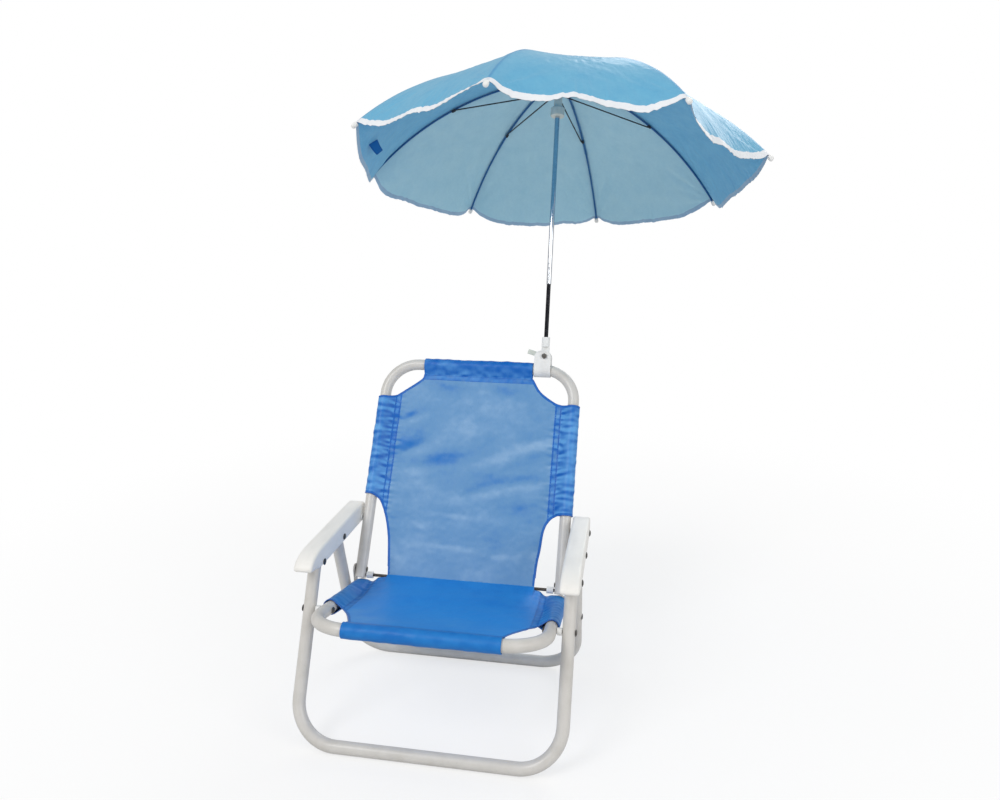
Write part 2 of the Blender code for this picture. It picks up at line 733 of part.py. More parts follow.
def clamp_outline():
    """The clamp from the front: straight sides and a rounded top."""
    half, top, bend = CLAMP_HALF_WIDTH, CHEEK_TOP, CHEEK_ROUND
    outline = [(-half, -CLAMP_OUTER * 2), (half, -CLAMP_OUTER * 2)]
    outline += arc((half - bend, top - bend), bend, 0, QUARTER, BEND_STEPS)
    outline += arc((bend - half, top - bend), bend, QUARTER, HALF_TURN, BEND_STEPS)
    return outline


def clamp_bolt_axis(start, end):
    """Two points on the clamp bolt's axis, given by their reach rearwards."""
    return [Vector((0, reach, CLAMP_BOLT_RISE)) for reach in (start, end)]


def make_clamp(clamp):
    section = arc((0, 0), CLAMP_OUTER, HALF_TURN, FULL_TURN, COLLAR_SIDES // 2)
    section += [(CLAMP_OUTER, CHEEK_TOP * 2), (-CLAMP_OUTER, CHEEK_TOP * 2)]
    shape = plate(section, CLAMP_HALF_WIDTH * 4, SIDE_PLANE)
    front = plate(clamp_outline(), CLAMP_OUTER * 4, FRONT_PLANE)
    shape = boolean(shape, front, "INTERSECT")
    shape.transform(Matrix.Translation((-CLAMP_SHIFT, 0, 0)))
    wide = CLAMP_HALF_WIDTH * 2
    slot = box((-wide, -CHEEK_GAP, SLOT_FOOT), (wide, CHEEK_GAP, CHEEK_TOP * 3))
    grip = bar((-wide, 0, 0), (wide, 0, 0), CLAMP_BORE, COLLAR_SIDES)
    bend = RAIL_HALF_SPAN - BACK_CORNER - MAST_OFFSET
    relief = bar((bend, 0, 0), (wide, 0, 0), CLAMP_RELIEF, COLLAR_SIDES)
    hole = bar(*clamp_bolt_axis(-wide, wide), CLAMP_BOLT_RADIUS + GAP)
    shape = bored(shape, slot, grip, relief, hole)
    shape.transform(MAST)
    place("clamp_body", shape, "white_plastic", clamp)
    head = bar(*clamp_bolt_axis(-CLAMP_OUTER - GAP - BOLT_HEAD_HEIGHT, -CLAMP_OUTER - GAP),
               BOLT_HEAD_RADIUS, HEX_SIDES)
    shaft = bar(*clamp_bolt_axis(-CLAMP_OUTER - BOLT_HEAD_HEIGHT, NUT_START + NUT_LENGTH),
                CLAMP_BOLT_RADIUS)
    shape = joined(head, shaft)
    shape.transform(MAST)
    place("clamp_bolt", shape, "dark_steel", clamp)


def make_nut(nut):
    """The hand nut: a round hub with one long finger lever."""
    hub = bar(*clamp_bolt_axis(NUT_START, NUT_START + NUT_LENGTH), NUT_RADIUS)
    lever = box((0, 0, -LEVER_HEIGHT / 2), (LEVER_LENGTH, LEVER_THICKNESS, LEVER_HEIGHT / 2))
    lever.transform(Matrix.Rotation(-LEVER_ANGLE, 4, "Y"))
    lever.transform(Matrix.Translation((0, NUT_START, CLAMP_BOLT_RISE)))
    hole = bar(*clamp_bolt_axis(0, NUT_START + NUT_LENGTH * 2), CLAMP_BOLT_RADIUS + GAP)
    shape = bored(joined(hub, lever), hole)
    shape.transform(MAST)
    place("clamp_nut", shape, "white_plastic", nut)


# Mast socket, pole and crown
KNUCKLE_RADIUS = 0.0105
KNUCKLE_HALF = 0.0040
NECK_SHARE = 0.94
SOCKET_RADIUS = 0.0071
SOCKET_FOOT = 0.0405
SOCKET_TOP = 0.0575
SOCKET_FLOOR = 0.0445
LOWER_POLE_RADIUS = 0.0036
UPPER_POLE_RADIUS = 0.0043
POLE_JOINT = 0.152
POLE_OVERLAP = 0.055
CROWN_UNDER = 0.0155
POLE_IN_CROWN = 0.011
CROWN_RADIUS = 0.0062
CROWN_FLANGE_RADIUS = 0.0115
CROWN_FLANGE_OVER = 0.0035
CROWN_FLANGE_HEIGHT = 0.0020
CAP_RADIUS = 0.011
CAP_HEIGHT = 0.007
CAP_CROWN_SHARE = 0.5
CAP_SHOULDER_SHARE = 0.8
CAP_RIM_SHARE = 0.3
DOME_TOP = MAST_TO_TIPS + CANOPY_RISE
CROWN_FOOT = DOME_TOP - CROWN_UNDER
POLE_TOP = CROWN_FOOT + POLE_IN_CROWN


def mast_bar(foot, top, radius, sides=PIN_SIDES):
    mesh = bar((0, 0, foot), (0, 0, top), radius, sides)
    mesh.transform(MAST)
    return mesh


def make_socket(socket):
    """A flat knuckle between the clamp's cheeks, with a round socket on top."""
    knuckle = bar(*clamp_bolt_axis(-KNUCKLE_HALF, KNUCKLE_HALF), KNUCKLE_RADIUS, COLLAR_SIDES)
    width, depth = SOCKET_RADIUS * NECK_SHARE, KNUCKLE_HALF * NECK_SHARE
    neck = box((-width, -depth, CLAMP_BOLT_RISE), (width, depth, SOCKET_FOOT + width))
    collar = bar((0, 0, SOCKET_FOOT), (0, 0, SOCKET_TOP), SOCKET_RADIUS, COLLAR_SIDES)
    hole = bar(*clamp_bolt_axis(-NUT_START, NUT_START), CLAMP_BOLT_RADIUS + GAP)
    well = bar((0, 0, SOCKET_FLOOR), (0, 0, SOCKET_TOP * 2), LOWER_POLE_RADIUS + GAP)
    shape = bored(joined(knuckle, neck, collar), hole, well)
    shape.transform(MAST)
    place("mast_socket", shape, "white_plastic", socket)


def make_poles(lower, upper):
    lower_top = POLE_JOINT + POLE_OVERLAP
    place("lower_pole", mast_bar(SOCKET_FLOOR + GAP, lower_top, LOWER_POLE_RADIUS),
          "chrome", lower)
    shaft = mast_bar(POLE_JOINT, POLE_TOP, UPPER_POLE_RADIUS)
    inside = mast_bar(0, lower_top + GAP, LOWER_POLE_RADIUS + GAP)
    place("upper_pole", bored(shaft, inside), "chrome", upper)


def make_crown(upper):
    """The hub at the pole's top, with a flange over the rib ends, and the cap on the cloth."""
    flange = DOME_TOP + CROWN_FLANGE_OVER
    top = flange + CROWN_FLANGE_HEIGHT
    bore = UPPER_POLE_RADIUS + GAP
    profile = [(0, top), (CROWN_FLANGE_RADIUS, top), (CROWN_FLANGE_RADIUS, flange),
               (CROWN_RADIUS, flange), (CROWN_RADIUS, CROWN_FOOT), (bore, CROWN_FOOT),
               (bore, POLE_TOP + GAP), (0, POLE_TOP + GAP)]
    place("crown", lathe(profile, MAST, COLLAR_SIDES), "white_plastic", upper)
    seat = top + GAP
    profile = [(0, seat + CAP_HEIGHT),
               (CAP_RADIUS * CAP_CROWN_SHARE, seat + CAP_HEIGHT * CAP_SHOULDER_SHARE),
               (CAP_RADIUS, seat + CAP_HEIGHT * CAP_RIM_SHARE), (CAP_RADIUS, seat), (0, seat)]
    place("top_cap", lathe(profile, MAST, COLLAR_SIDES), "white_plastic", upper)


# Runner
RUNNER_PLAY = 0.0004
RUNNER_BORE = UPPER_POLE_RADIUS + RUNNER_PLAY
RUNNER_NECK = 0.0072
RUNNER_COLLAR = 0.0125
RUNNER_UNDER = 0.0115
RUNNER_LENGTH = 0.045
RUNNER_GRIP = 0.016
RUNNER_EDGE = 0.0015
STRETCHER_UNDER = 0.004
STRETCHER_PIVOT = 0.0090
STRETCHER_RADIUS = 0.0012
RUNNER_TOP = CROWN_FOOT - RUNNER_UNDER
RUNNER_FOOT = RUNNER_TOP - RUNNER_LENGTH
RUNNER_SHOULDER = RUNNER_FOOT + RUNNER_GRIP
STRETCHER_RISE = RUNNER_TOP - STRETCHER_UNDER


def make_runner(runner):
    """The sliding collar: a wide grip below and a slim neck where the stretchers turn."""
    edge = RUNNER_EDGE
    profile = [
        (RUNNER_BORE, RUNNER_FOOT), (RUNNER_BORE, RUNNER_TOP), (RUNNER_NECK, RUNNER_TOP),
        (RUNNER_NECK, RUNNER_SHOULDER), (RUNNER_COLLAR - edge, RUNNER_SHOULDER),
        (RUNNER_COLLAR, RUNNER_SHOULDER - edge), (RUNNER_COLLAR, RUNNER_FOOT + edge),
        (RUNNER_COLLAR - edge, RUNNER_FOOT), (RUNNER_BORE, RUNNER_FOOT),
    ]
    place("runner", lathe(profile, MAST, COLLAR_SIDES), "white_plastic", runner)


# Ribs, stretchers and canopy
RIB_RADIUS = 0.0015
RIB_PIVOT = 0.0080
RIB_UNDER = 0.0032
RIB_STEPS = 12
TIP_CAP_RADIUS = 0.0027
TIP_CAP_LENGTH = 0.009
EDGE_INSET = 0.0065
CANOPY_EDGE = CANOPY_RADIUS - EDGE_INSET
CANOPY_HOLE = 0.0070
CANOPY_CLOTH = 0.0010
EDGE_DROP = 0.028
DROP_POWER = 4
FULLNESS_POWER = 4
GORE_STEPS = 8
CANOPY_ROWS = (0, 0.14, 0.30, 0.46, 0.61, 0.74, 0.85, 0.93, 1)
STRETCHER_JOINT = 0.200
STRETCHER_BESIDE = RIB_RADIUS + STRETCHER_RADIUS + GAP
DOME_RADIUS = (CANOPY_RADIUS ** 2 + CANOPY_RISE ** 2) / (2 * CANOPY_RISE)


def dome_height(radius, under=0):
    """How high a dome stands on the mast at this distance from it, so far under the cloth."""
    middle = DOME_TOP - DOME_RADIUS
    return middle + math.sqrt((DOME_RADIUS - under) ** 2 - radius ** 2)


def rib_height(radius):
    return dome_height(radius, RIB_UNDER)


def rib_matrix(number):
    return MAST @ Matrix.Rotation(FIRST_RIB_ANGLE + RIB_STEP * number, 4, "Z")


def rib_shape():
    """A curved wire from the crown to the tip, with the tip's cap."""
    reach = CANOPY_RADIUS - RIB_PIVOT
    radii = [RIB_PIVOT + reach * i / RIB_STEPS for i in range(RIB_STEPS + 1)]
    points = [Vector((radius, 0, rib_height(radius))) for radius in radii]
    wire = tube(points, RIB_RADIUS, THIN_STEPS)
    end = points[-1]
    way = (points[-1] - points[-2]).normalized()
    cap = bar(end - way * TIP_CAP_LENGTH / 2, end + way * TIP_CAP_LENGTH / 2, TIP_CAP_RADIUS,
              PIN_SIDES // 2)
    return joined(wire, cap)


def make_ribs(upper, runner):
    """Each stretcher lies beside its rib, so that the two can fold past each other."""
    shape = rib_shape()
    rib_pivot = Vector((RIB_PIVOT, 0, rib_height(RIB_PIVOT)))
    stretcher_pivot = Vector((STRETCHER_PIVOT, STRETCHER_BESIDE, STRETCHER_RISE))
    joint = rib_height(STRETCHER_JOINT) - STRETCHER_RADIUS
    far_end = Vector((STRETCHER_JOINT, STRETCHER_BESIDE, joint))
    for number in range(RIB_COUNT):
        matrix = rib_matrix(number)
        wire = shape.copy()
        wire.transform(matrix)
        carrier = body(f"rib_{number + 1}_body", matrix @ rib_pivot, upper)
        place(f"rib_{number + 1}", wire, "dark_steel", carrier)
        carrier = body(f"stretcher_{number + 1}_body", matrix @ stretcher_pivot, runner)
        rod = tube([matrix @ stretcher_pivot, matrix @ far_end], STRETCHER_RADIUS, THIN_STEPS)
        place(f"stretcher_{number + 1}", rod, "dark_steel", carrier)


def canopy_point(share, number, step):
    """A point of the cloth: share runs from hole to edge, step across one gore."""
    radius = CANOPY_HOLE + (CANOPY_EDGE - CANOPY_HOLE) * share
    across = 2 * step / GORE_STEPS - 1
    half = RIB_STEP / 2
    chord = radius * math.cos(half)
    turn = math.atan(across * math.tan(half))
    reach = chord / math.cos(turn)
    hang = EDGE_DROP * share ** DROP_POWER * (1 - abs(across) ** FULLNESS_POWER)
    angle = FIRST_RIB_ANGLE + RIB_STEP * number + half + turn
    return MAST @ Vector((reach * math.cos(angle), reach * math.sin(angle),
                          dome_height(radius) - hang))


def make_canopy(upper):
    rows = []
    for share in CANOPY_ROWS:
        row = [canopy_point(share, number, step)
               for number in range(RIB_COUNT) for step in range(GORE_STEPS)]
        rows.append(row + row[:1])
    place("canopy", sheet(rows, CANOPY_CLOTH), "pale_cloth", upper)


def make_chair():
    front = body("front_legs", FLOOR_BAR)
    arms = body("arms", ARM_FRONT, front)
    rear = body("rear_legs", ARM_REAR, arms)
    seat = body("seat", SEAT_BOLT, front)
    back = body("back", HINGE, seat)
    make_legs(front, rear)
    make_arms(arms)
    make_seat(front, seat)
    make_props(rear)
    make_back(back)
    make_seat_cloth(seat)
    make_back_cloth(back)
    return front, back


def make_umbrella(back):
    clamp = body("clamp", MAST_FOOT, back)
    bolt_middle, nut_middle = [MAST @ point for point in clamp_bolt_axis(0, NUT_START)]
    nut = body("nut", nut_middle, clamp)
    socket = body("socket", bolt_middle, clamp)
    lower = body("lower_mast", MAST @ Vector((0, 0, SOCKET_FLOOR)), socket)
    upper = body("upper_mast", MAST @ Vector((0, 0, POLE_JOINT)), lower)
    runner = body("runner_body", MAST @ Vector((0, 0, STRETCHER_RISE)), upper)
    make_clamp(clamp)
    make_nut(nut)
    make_socket(socket)
    make_poles(lower, upper)
    make_crown(upper)
    make_runner(runner)
    make_ribs(upper, runner)
    make_canopy(upper)


def centre_on_origin(root):
    """Moves the whole chair so that its box stands with its base's centre at the origin."""
    bpy.context.view_layer.update()
    points = [
        thing.matrix_world @ vertex.co
        for thing in collection().objects if thing.type == "MESH"
        for vertex in thing.data.vertices
    ]
    low = [min(point[i] for point in points) for i in range(3)]
    high = [max(point[i] for point in points) for i in range(3)]
    shift = Vector((-(low[0] + high[0]) / 2, -(low[1] + high[1]) / 2, -low[2]))
    root.location += shift
    bpy.context.view_layer.update()
    print("shift", [round(value, 6) for value in shift])
    for thing in collection().objects:
        if thing.type == "EMPTY":
            print(thing.name, [round(value, 6) for value in thing.matrix_world.translation])


clear_scene()
root_body, back_body = make_chair()
make_umbrella(back_body)
centre_on_origin(root_body)
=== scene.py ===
# %% [markdown]
# # A folding beach chair with a clamp-on umbrella
#
# This script dresses the solid model of a child's beach chair. Each step says what the piece is
# on the real object, then models it. Lengths are in metres, +Z is up, and the chair faces -Y.

import math

import bmesh
import bpy
import numpy as np
from mathutils import Matrix, Vector, noise
from mathutils.kdtree import KDTree


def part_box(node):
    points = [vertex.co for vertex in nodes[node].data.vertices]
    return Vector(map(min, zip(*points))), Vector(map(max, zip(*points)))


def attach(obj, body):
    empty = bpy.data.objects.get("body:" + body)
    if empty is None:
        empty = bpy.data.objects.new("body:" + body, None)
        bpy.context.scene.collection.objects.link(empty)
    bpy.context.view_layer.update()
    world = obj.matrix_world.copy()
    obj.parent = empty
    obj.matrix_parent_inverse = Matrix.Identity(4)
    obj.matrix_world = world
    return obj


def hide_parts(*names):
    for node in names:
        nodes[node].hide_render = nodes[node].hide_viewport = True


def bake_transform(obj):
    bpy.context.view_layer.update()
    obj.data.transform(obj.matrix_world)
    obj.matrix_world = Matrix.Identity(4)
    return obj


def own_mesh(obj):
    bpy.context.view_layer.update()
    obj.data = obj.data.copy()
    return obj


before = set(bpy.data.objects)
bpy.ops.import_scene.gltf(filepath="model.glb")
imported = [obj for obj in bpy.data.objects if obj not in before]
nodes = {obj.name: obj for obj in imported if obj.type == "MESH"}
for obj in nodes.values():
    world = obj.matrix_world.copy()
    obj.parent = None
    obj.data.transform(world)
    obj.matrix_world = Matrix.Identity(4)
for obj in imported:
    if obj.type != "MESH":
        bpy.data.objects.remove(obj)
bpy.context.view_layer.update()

# %% [markdown]
# The chair was measured in its own coordinates: x from its middle, y from the front floor bar,
# z from the floor. The model stands with its box centred, so every point is moved by the same
# shift. The front leg frame is centred on the chair, and its lowest, foremost tube gives y.

# %% Measured sizes
TUBE = 0.0095
leg_low, leg_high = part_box("front_leg_frame")
SHIFT = Vector(((leg_low.x + leg_high.x) / 2, leg_low.y + TUBE, leg_low.z))
LEGS, RAILS = 0.195, 0.1685
# From the seat's bolts to its front bar and to its rear end, and from the hinge to the top bar
SEAT_FRONT, SEAT_REAR, BACK_LENGTH = 0.0845, 0.163, 0.3672
BEND, TOP_BEND = 0.062, 0.056
# The sleeves' seams lie this far from the middle of the tubes
SEAM = 0.0185
SIDE_SEAM = RAILS - SEAM
FRONT_SEAM, TOP_SEAM = SEAM - SEAT_FRONT, BACK_LENGTH - SEAM
FRONT_SLOPE, REAR_SLOPE = 0.4625, 0.3207
SEAT_SLOPE, BACK_LEAN, MAST_LEAN = (math.radians(a) for a in (13, 30.8, 15.69))
SIDES = {"left": -1, "right": 1}
X = Vector((1, 0, 0))


def at(x, y, z):
    """A point of the chair's own coordinates, in the model's frame."""
    return SHIFT + Vector((x, y, z))


def front_leg(z):
    return at(0, FRONT_SLOPE * (z - TUBE), z)


def rear_leg(z):
    return at(0, 0.271 - REAR_SLOPE * (z - TUBE), z)


SEAT_BOLT = front_leg(0.1818)
SEAT_ALONG = Vector((0, math.cos(SEAT_SLOPE), -math.sin(SEAT_SLOPE)))
SEAT_UP = Vector((0, math.sin(SEAT_SLOPE), math.cos(SEAT_SLOPE)))
HINGE = at(0, 0.2338, 0.1743)
BACK_ALONG = Vector((0, math.sin(BACK_LEAN), math.cos(BACK_LEAN)))
BACK_FRONT = Vector((0, -math.cos(BACK_LEAN), math.sin(BACK_LEAN)))
TOP_BAR = HINGE + BACK_ALONG * BACK_LENGTH
MAST = Matrix.Translation(TOP_BAR + X * 0.1135) @ Matrix.Rotation(-MAST_LEAN, 4, "X")
print("seat bolt", SEAT_BOLT, "top bar", TOP_BAR)

# %% [markdown]
# ## Shader arithmetic
#
# A surface's colour and roughness are sums and products of noise. This class wraps one node
# socket so that such a sum can be written as a sum.


# %% One socket with arithmetic
class Value:
    """A shader socket that adds, multiplies and mixes."""

    def __init__(self, tree, socket):
        self.tree, self.socket = tree, socket

    def node(self, kind, *inputs, output=0, **settings):
        """Any node fed by these inputs; a None leaves its input as it is."""
        made = self.tree.nodes.new("ShaderNode" + kind)
        for key, value in settings.items():
            setattr(made, key, value)
        for place, value in enumerate(inputs):
            if isinstance(value, Value):
                self.tree.links.new(value.socket, made.inputs[place])
            elif value is not None:
                made.inputs[place].default_value = value
        return Value(self.tree, made.outputs[output])

    def math(self, operation, *inputs):
        return self.node("Math", *inputs, operation=operation)

    def __add__(self, other):
        return self.math("ADD", self, other)

    def __sub__(self, other):
        return self.math("SUBTRACT", self, other)

    def __rsub__(self, other):
        return self.math("SUBTRACT", other, self)

    def __mul__(self, other):
        return self.math("MULTIPLY", self, other)

    def __truediv__(self, other):
        return self.math("DIVIDE", self, other)

    def __pow__(self, other):
        return self.math("POWER", self, other)

    __radd__ = __add__
    __rmul__ = __mul__

    def math_length(self):
        """The length of a vector."""
        return self.node("VectorMath", self, operation="LENGTH", output=1)

    def scaled(self, *factors):
        """A vector stretched along each axis."""
        return self.node("VectorMath", self, factors, operation="MULTIPLY")

    def ramp(self, low, high):
        """0 below low, 1 above high, smooth between."""
        return self.node("MapRange", self, low, high, 0.0, 1.0, interpolation_type="SMOOTHSTEP")

    def noise(self, scale, detail=3.0, rough=0.5):
        """Even noise from 0 to 1, so many bumps to the metre."""
        return self.node("TexNoise", self, None, scale, detail, rough)

    def between(self, first, second):
        """The colour that lies this far from the first to the second."""
        made = self.tree.nodes.new("ShaderNodeMix")
        made.data_type = "RGBA"
        self.tree.links.new(self.socket, made.inputs[0])
        for socket, value in ((made.inputs[6], first), (made.inputs[7], second)):
            if isinstance(value, Value):
                self.tree.links.new(value.socket, socket)
            else:
                socket.default_value = (*value, 1)
        return Value(self.tree, made.outputs[2])


def srgb(*rgb):
    """A colour given in display values from 0 to 255, as light."""
    return tuple((v / 255 / 12.92) if v <= 10 else ((v / 255 + 0.055) / 1.055) ** 2.4 for v in rgb)


class Surface:
    """A Principled material with its place in space as a starting value."""

    def __init__(self, name):
        self.material = bpy.data.materials.new(name)
        self.material.use_nodes = True
        tree = self.tree = self.material.node_tree
        self.shader = tree.nodes["Principled BSDF"]
        start = Value(tree, None)
        self.place = start.node("TexCoord", output=3)
        self.start = start

    def uv(self):
        return self.start.node("UVMap", uv_map="cloth")

    def attribute(self, name):
        return self.start.node("Attribute", attribute_name=name, output=2)

    def set(self, **values):
        """Feeds the shader's inputs: underscores stand for spaces."""
        for key, value in values.items():
            socket = self.shader.inputs[key.replace("_", " ")]
            if isinstance(value, Value):
                self.tree.links.new(value.socket, socket)
            else:
                size = len(socket.default_value) if isinstance(value, tuple) else 0
                socket.default_value = (*value, 1)[:size] if size else value
        return self

    def fade(self, factor, colour):
        """Mixes towards an even glow of one colour."""
        glow = self.tree.nodes.new("ShaderNodeEmission")
        glow.inputs["Color"].default_value = (*colour, 1)
        mix = self.tree.nodes.new("ShaderNodeMixShader")
        self.tree.links.new(factor.socket, mix.inputs[0])
        self.tree.links.new(self.shader.outputs[0], mix.inputs[1])
        self.tree.links.new(glow.outputs[0], mix.inputs[2])
        self.tree.links.new(mix.outputs[0], self.tree.nodes["Material Output"].inputs[0])
        return self

    def bump(self, height, depth, strength=1.0):
        made = self.tree.nodes.new("ShaderNodeBump")
        made.inputs["Distance"].default_value = depth
        made.inputs["Strength"].default_value = strength
        self.tree.links.new(height.socket, made.inputs["Height"])
        self.tree.links.new(made.outputs[0], self.shader.inputs["Normal"])
        return self


# %% [markdown]
# ## Hard surfaces
#
# The tubes are powder coated: a warm off-white with a faint orange-peel skin, slightly grubby in
# patches. The armrests and small fittings are injection moulded, whiter and finer grained.
# Rivets, bolts and the cross rod are dark steel, and the umbrella's upper pole is bright chrome;
# the lower pole is chrome whose dark colour is a painted reflection of dark surroundings.


# %% Paint, plastic and metal
def painted(name, colour, grime, roughness):
    made = Surface(name)
    cloud = made.place.noise(38, 4)
    specks = made.place.noise(420, 2).ramp(0.63, 0.72)
    made.set(Base_Color=(cloud.ramp(0.35, 0.8) * 0.5 + specks * 0.25).between(colour, grime))
    made.set(Roughness=cloud * 0.14 + (roughness - 0.05) + specks * 0.1, Coat_Weight=0.25)
    made.set(Coat_Roughness=0.2, IOR=1.5)
    return made.bump(made.place.noise(900, 2) * 0.7 + cloud * 0.3, 0.00007)


def moulded(name, colour, shade, roughness=0.42):
    made = Surface(name)
    flow = made.place.scaled(60, 18, 60).noise(1.0, 3)
    grain = made.place.noise(1500, 2)
    made.set(Base_Color=flow.ramp(0.4, 0.75).between(colour, shade))
    made.set(Roughness=grain * 0.1 + flow * 0.08 + (roughness - 0.09), IOR=1.47)
    made.set(Subsurface_Weight=0.06, Subsurface_Radius=(0.004, 0.004, 0.004))
    return made.bump(grain * 0.6 + flow * 0.4, 0.00005)


def metal(name, dark, light, roughness, metallic=1.0, streak=(30, 30, 300)):
    made = Surface(name)
    brushed = made.place.scaled(*streak).noise(1.0, 4, 0.6)
    stains = made.place.noise(160, 4).ramp(0.45, 0.75)
    made.set(Base_Color=(brushed * 0.6 + stains * 0.4).between(dark, light), Metallic=metallic)
    made.set(Roughness=brushed * 0.16 + stains * 0.1 + (roughness - 0.1))
    return made.bump(brushed * 0.8 + stains * 0.2, 0.00003)


frame_paint = painted("frame_paint", srgb(211, 208, 203), srgb(188, 184, 176), 0.34)
arm_plastic = moulded("arm_plastic", srgb(242, 240, 235), srgb(234, 232, 227))
fitting_plastic = moulded("fitting_plastic", srgb(238, 238, 236), srgb(224, 224, 222), 0.38)
clear_plastic = moulded("clear_plastic", srgb(222, 226, 216), srgb(205, 212, 203), 0.25)
rivet_steel = metal("rivet_steel", srgb(78, 76, 74), srgb(130, 127, 122), 0.42)
rod_steel = metal("rod_steel", srgb(70, 64, 60), srgb(122, 114, 106), 0.45)
chrome = metal("chrome", srgb(196, 200, 206), srgb(228, 231, 236), 0.14)
# The lower pole's chrome, with a painted reflection: its dark colour stands in for the dark
# surroundings it reflects.
chrome_dark_reflection = metal("chrome_dark_reflection", srgb(14, 15, 18), srgb(42, 44, 50), 0.22, 0.85)
rib_steel = metal("rib_steel", srgb(24, 84, 142), srgb(44, 118, 178), 0.4, 0.25)
wire_steel = metal("wire_steel", srgb(34, 38, 44), srgb(74, 80, 90), 0.38, 0.8)
print("hard materials", len(bpy.data.materials))

# %% [markdown]
# ## Cloth surfaces
#
# The chair's cloth is a shiny, thin royal-blue nylon. One layer lets light through and looks
# pale, and that light is painted into its colour; where it is doubled, in hems and sleeves, it
# looks deep blue. The canopy is the same kind of cloth in pale blue, painted paler on its inside
# for the light that comes through it. A fine weave, small creases and darker seams vary the
# colour, and on the chair painted light and shade follow the folds. The meshes carry a value
# named "deep", from 0 in a single layer to 1 in a hem.


# %% Nylon
def nylon(name, pale, blue, deep, gloss=0.46, weave=1400, crease=0.0005, sheen=0.3):
    made = Surface(name)
    cloth = made.uv()
    warp = cloth.scaled(weave, weave * 0.12, 1).noise(1.0, 2)
    weft = cloth.scaled(weave * 0.12, weave, 1).noise(1.0, 2)
    crumple = made.place.noise(34, 5, 0.58)
    fine = made.place.noise(150, 3)
    tone = (crumple - 0.5) * 0.9 + (fine - 0.5) * 0.35 + 0.42
    layer = made.attribute("deep")
    colour = layer.ramp(0.0, 1.0).between(tone.ramp(0.0, 1.0).between(pale, blue), deep)
    threads = (warp + weft) * 0.5
    made.set(Base_Color=(threads.ramp(0.3, 0.8) * 0.16).between(colour, deep))
    made.set(Roughness=threads * 0.18 + crumple * 0.12 + (gloss - 0.12) - layer * 0.05)
    made.set(Sheen_Weight=sheen, Sheen_Roughness=0.4, IOR=1.5, Coat_Weight=0.08)
    height = crumple * 0.75 + fine * 0.2 + threads * 0.05
    return made.bump(height, crease * 6, 0.5)


STITCH_ROWS = (0.1392, 0.1476)


def chair_nylon(name, slate, royal, light, sleeve, deep, end_seam):
    """The chair's cloth: painted light and shade follow the folds, and the sleeves are a deeper
    blue.
    """
    made = Surface(name)
    flat = made.uv()
    across, s = flat.node("SeparateXYZ", flat), flat.node("SeparateXYZ", flat, output=1)
    w = across.math("ABSOLUTE", across)
    warp = flat.scaled(1400, 170, 1).noise(1.0, 2)
    weft = flat.scaled(170, 1400, 1).noise(1.0, 2)
    threads = (warp + weft) * 0.5
    cloud = made.place.noise(14, 4, 0.6)
    crumple = made.place.noise(60, 4, 0.6)
    # The tone value is painted light and shade from the folds: lighter where they face up, darker
    # where they face down; the two noises add tone at random. The panel runs from royal, its painted
    # shade, to light, its painted highlight.
    tone = made.attribute("tone") + (cloud - 0.5) * 0.7 + (crumple - 0.5) * 0.35
    panel = tone.ramp(0.45, 1.0).between(tone.ramp(0.0, 0.5).between(royal, slate), light)
    past_end = (s - end_seam) * (1 if end_seam > 0 else -1)
    doubled = (w.ramp(SIDE_SEAM - 0.0020, SIDE_SEAM) + past_end.ramp(-0.0005, 0.0010)).ramp(0.0, 1.0)
    round_end = past_end.ramp(0.0, 0.002)
    # On the sleeves and seam bands the painted light and shade is stronger, and darker past the end
    # seam.
    doubled_fold_light_and_tone = (tone * 1.3 - 0.15 - round_end * 0.25).ramp(0.0, 1.0)
    colour = doubled.between(panel, doubled_fold_light_and_tone.between(deep, sleeve))
    # The band between the stitch rows and the strip beside the end seam are doubled cloth, a deeper
    # blue, with a random mottle painted as the shade in their puckers.
    band = w.ramp(SIDE_SEAM - 0.0130, SIDE_SEAM - 0.0120)
    band = band * (1 - w.ramp(SIDE_SEAM - 0.0015, SIDE_SEAM - 0.0005))
    strip = past_end.ramp(-0.0100, -0.0090) * (1 - past_end.ramp(0.0, 0.0010))
    mottled = crumple.ramp(0.35, 0.65) * 0.5 + 0.35
    stitched = doubled_fold_light_and_tone.ramp(0.1, 1.3).between(deep, sleeve)
    strip = strip * (1.3 if end_seam > 0 else 0.3)
    colour = (band * mottled + strip * mottled).ramp(0.0, 0.8).between(colour, stitched)
    rows = 0.0
    for row in STITCH_ROWS:
        off = w - row
        rows = (1 - off.math("ABSOLUTE", off).ramp(0.0007, 0.0020)) + rows
    rows = rows * made.place.noise(500, 1).ramp(0.3, 0.5) * 0.8
    hem = made.attribute("deep").ramp(0.2, 0.8) * 0.85
    colour = (rows + hem).ramp(0.0, 1.0).between(colour, deep)
    made.set(Base_Color=(threads.ramp(0.3, 0.8) * 0.12).between(colour, deep))
    made.set(Roughness=threads * 0.16 + crumple * 0.12 + 0.32 - doubled * 0.04)
    made.set(Sheen_Weight=0.02, Sheen_Roughness=0.4, IOR=1.36)
    return made.bump(crumple * 0.7 + threads * 0.08 + cloud * 0.2, 0.0022, 0.5)


seat_nylon = chair_nylon("seat_nylon", srgb(40, 138, 220), srgb(20, 118, 208), srgb(82, 160, 224),
                         srgb(48, 148, 220), srgb(12, 108, 190), FRONT_SEAM)
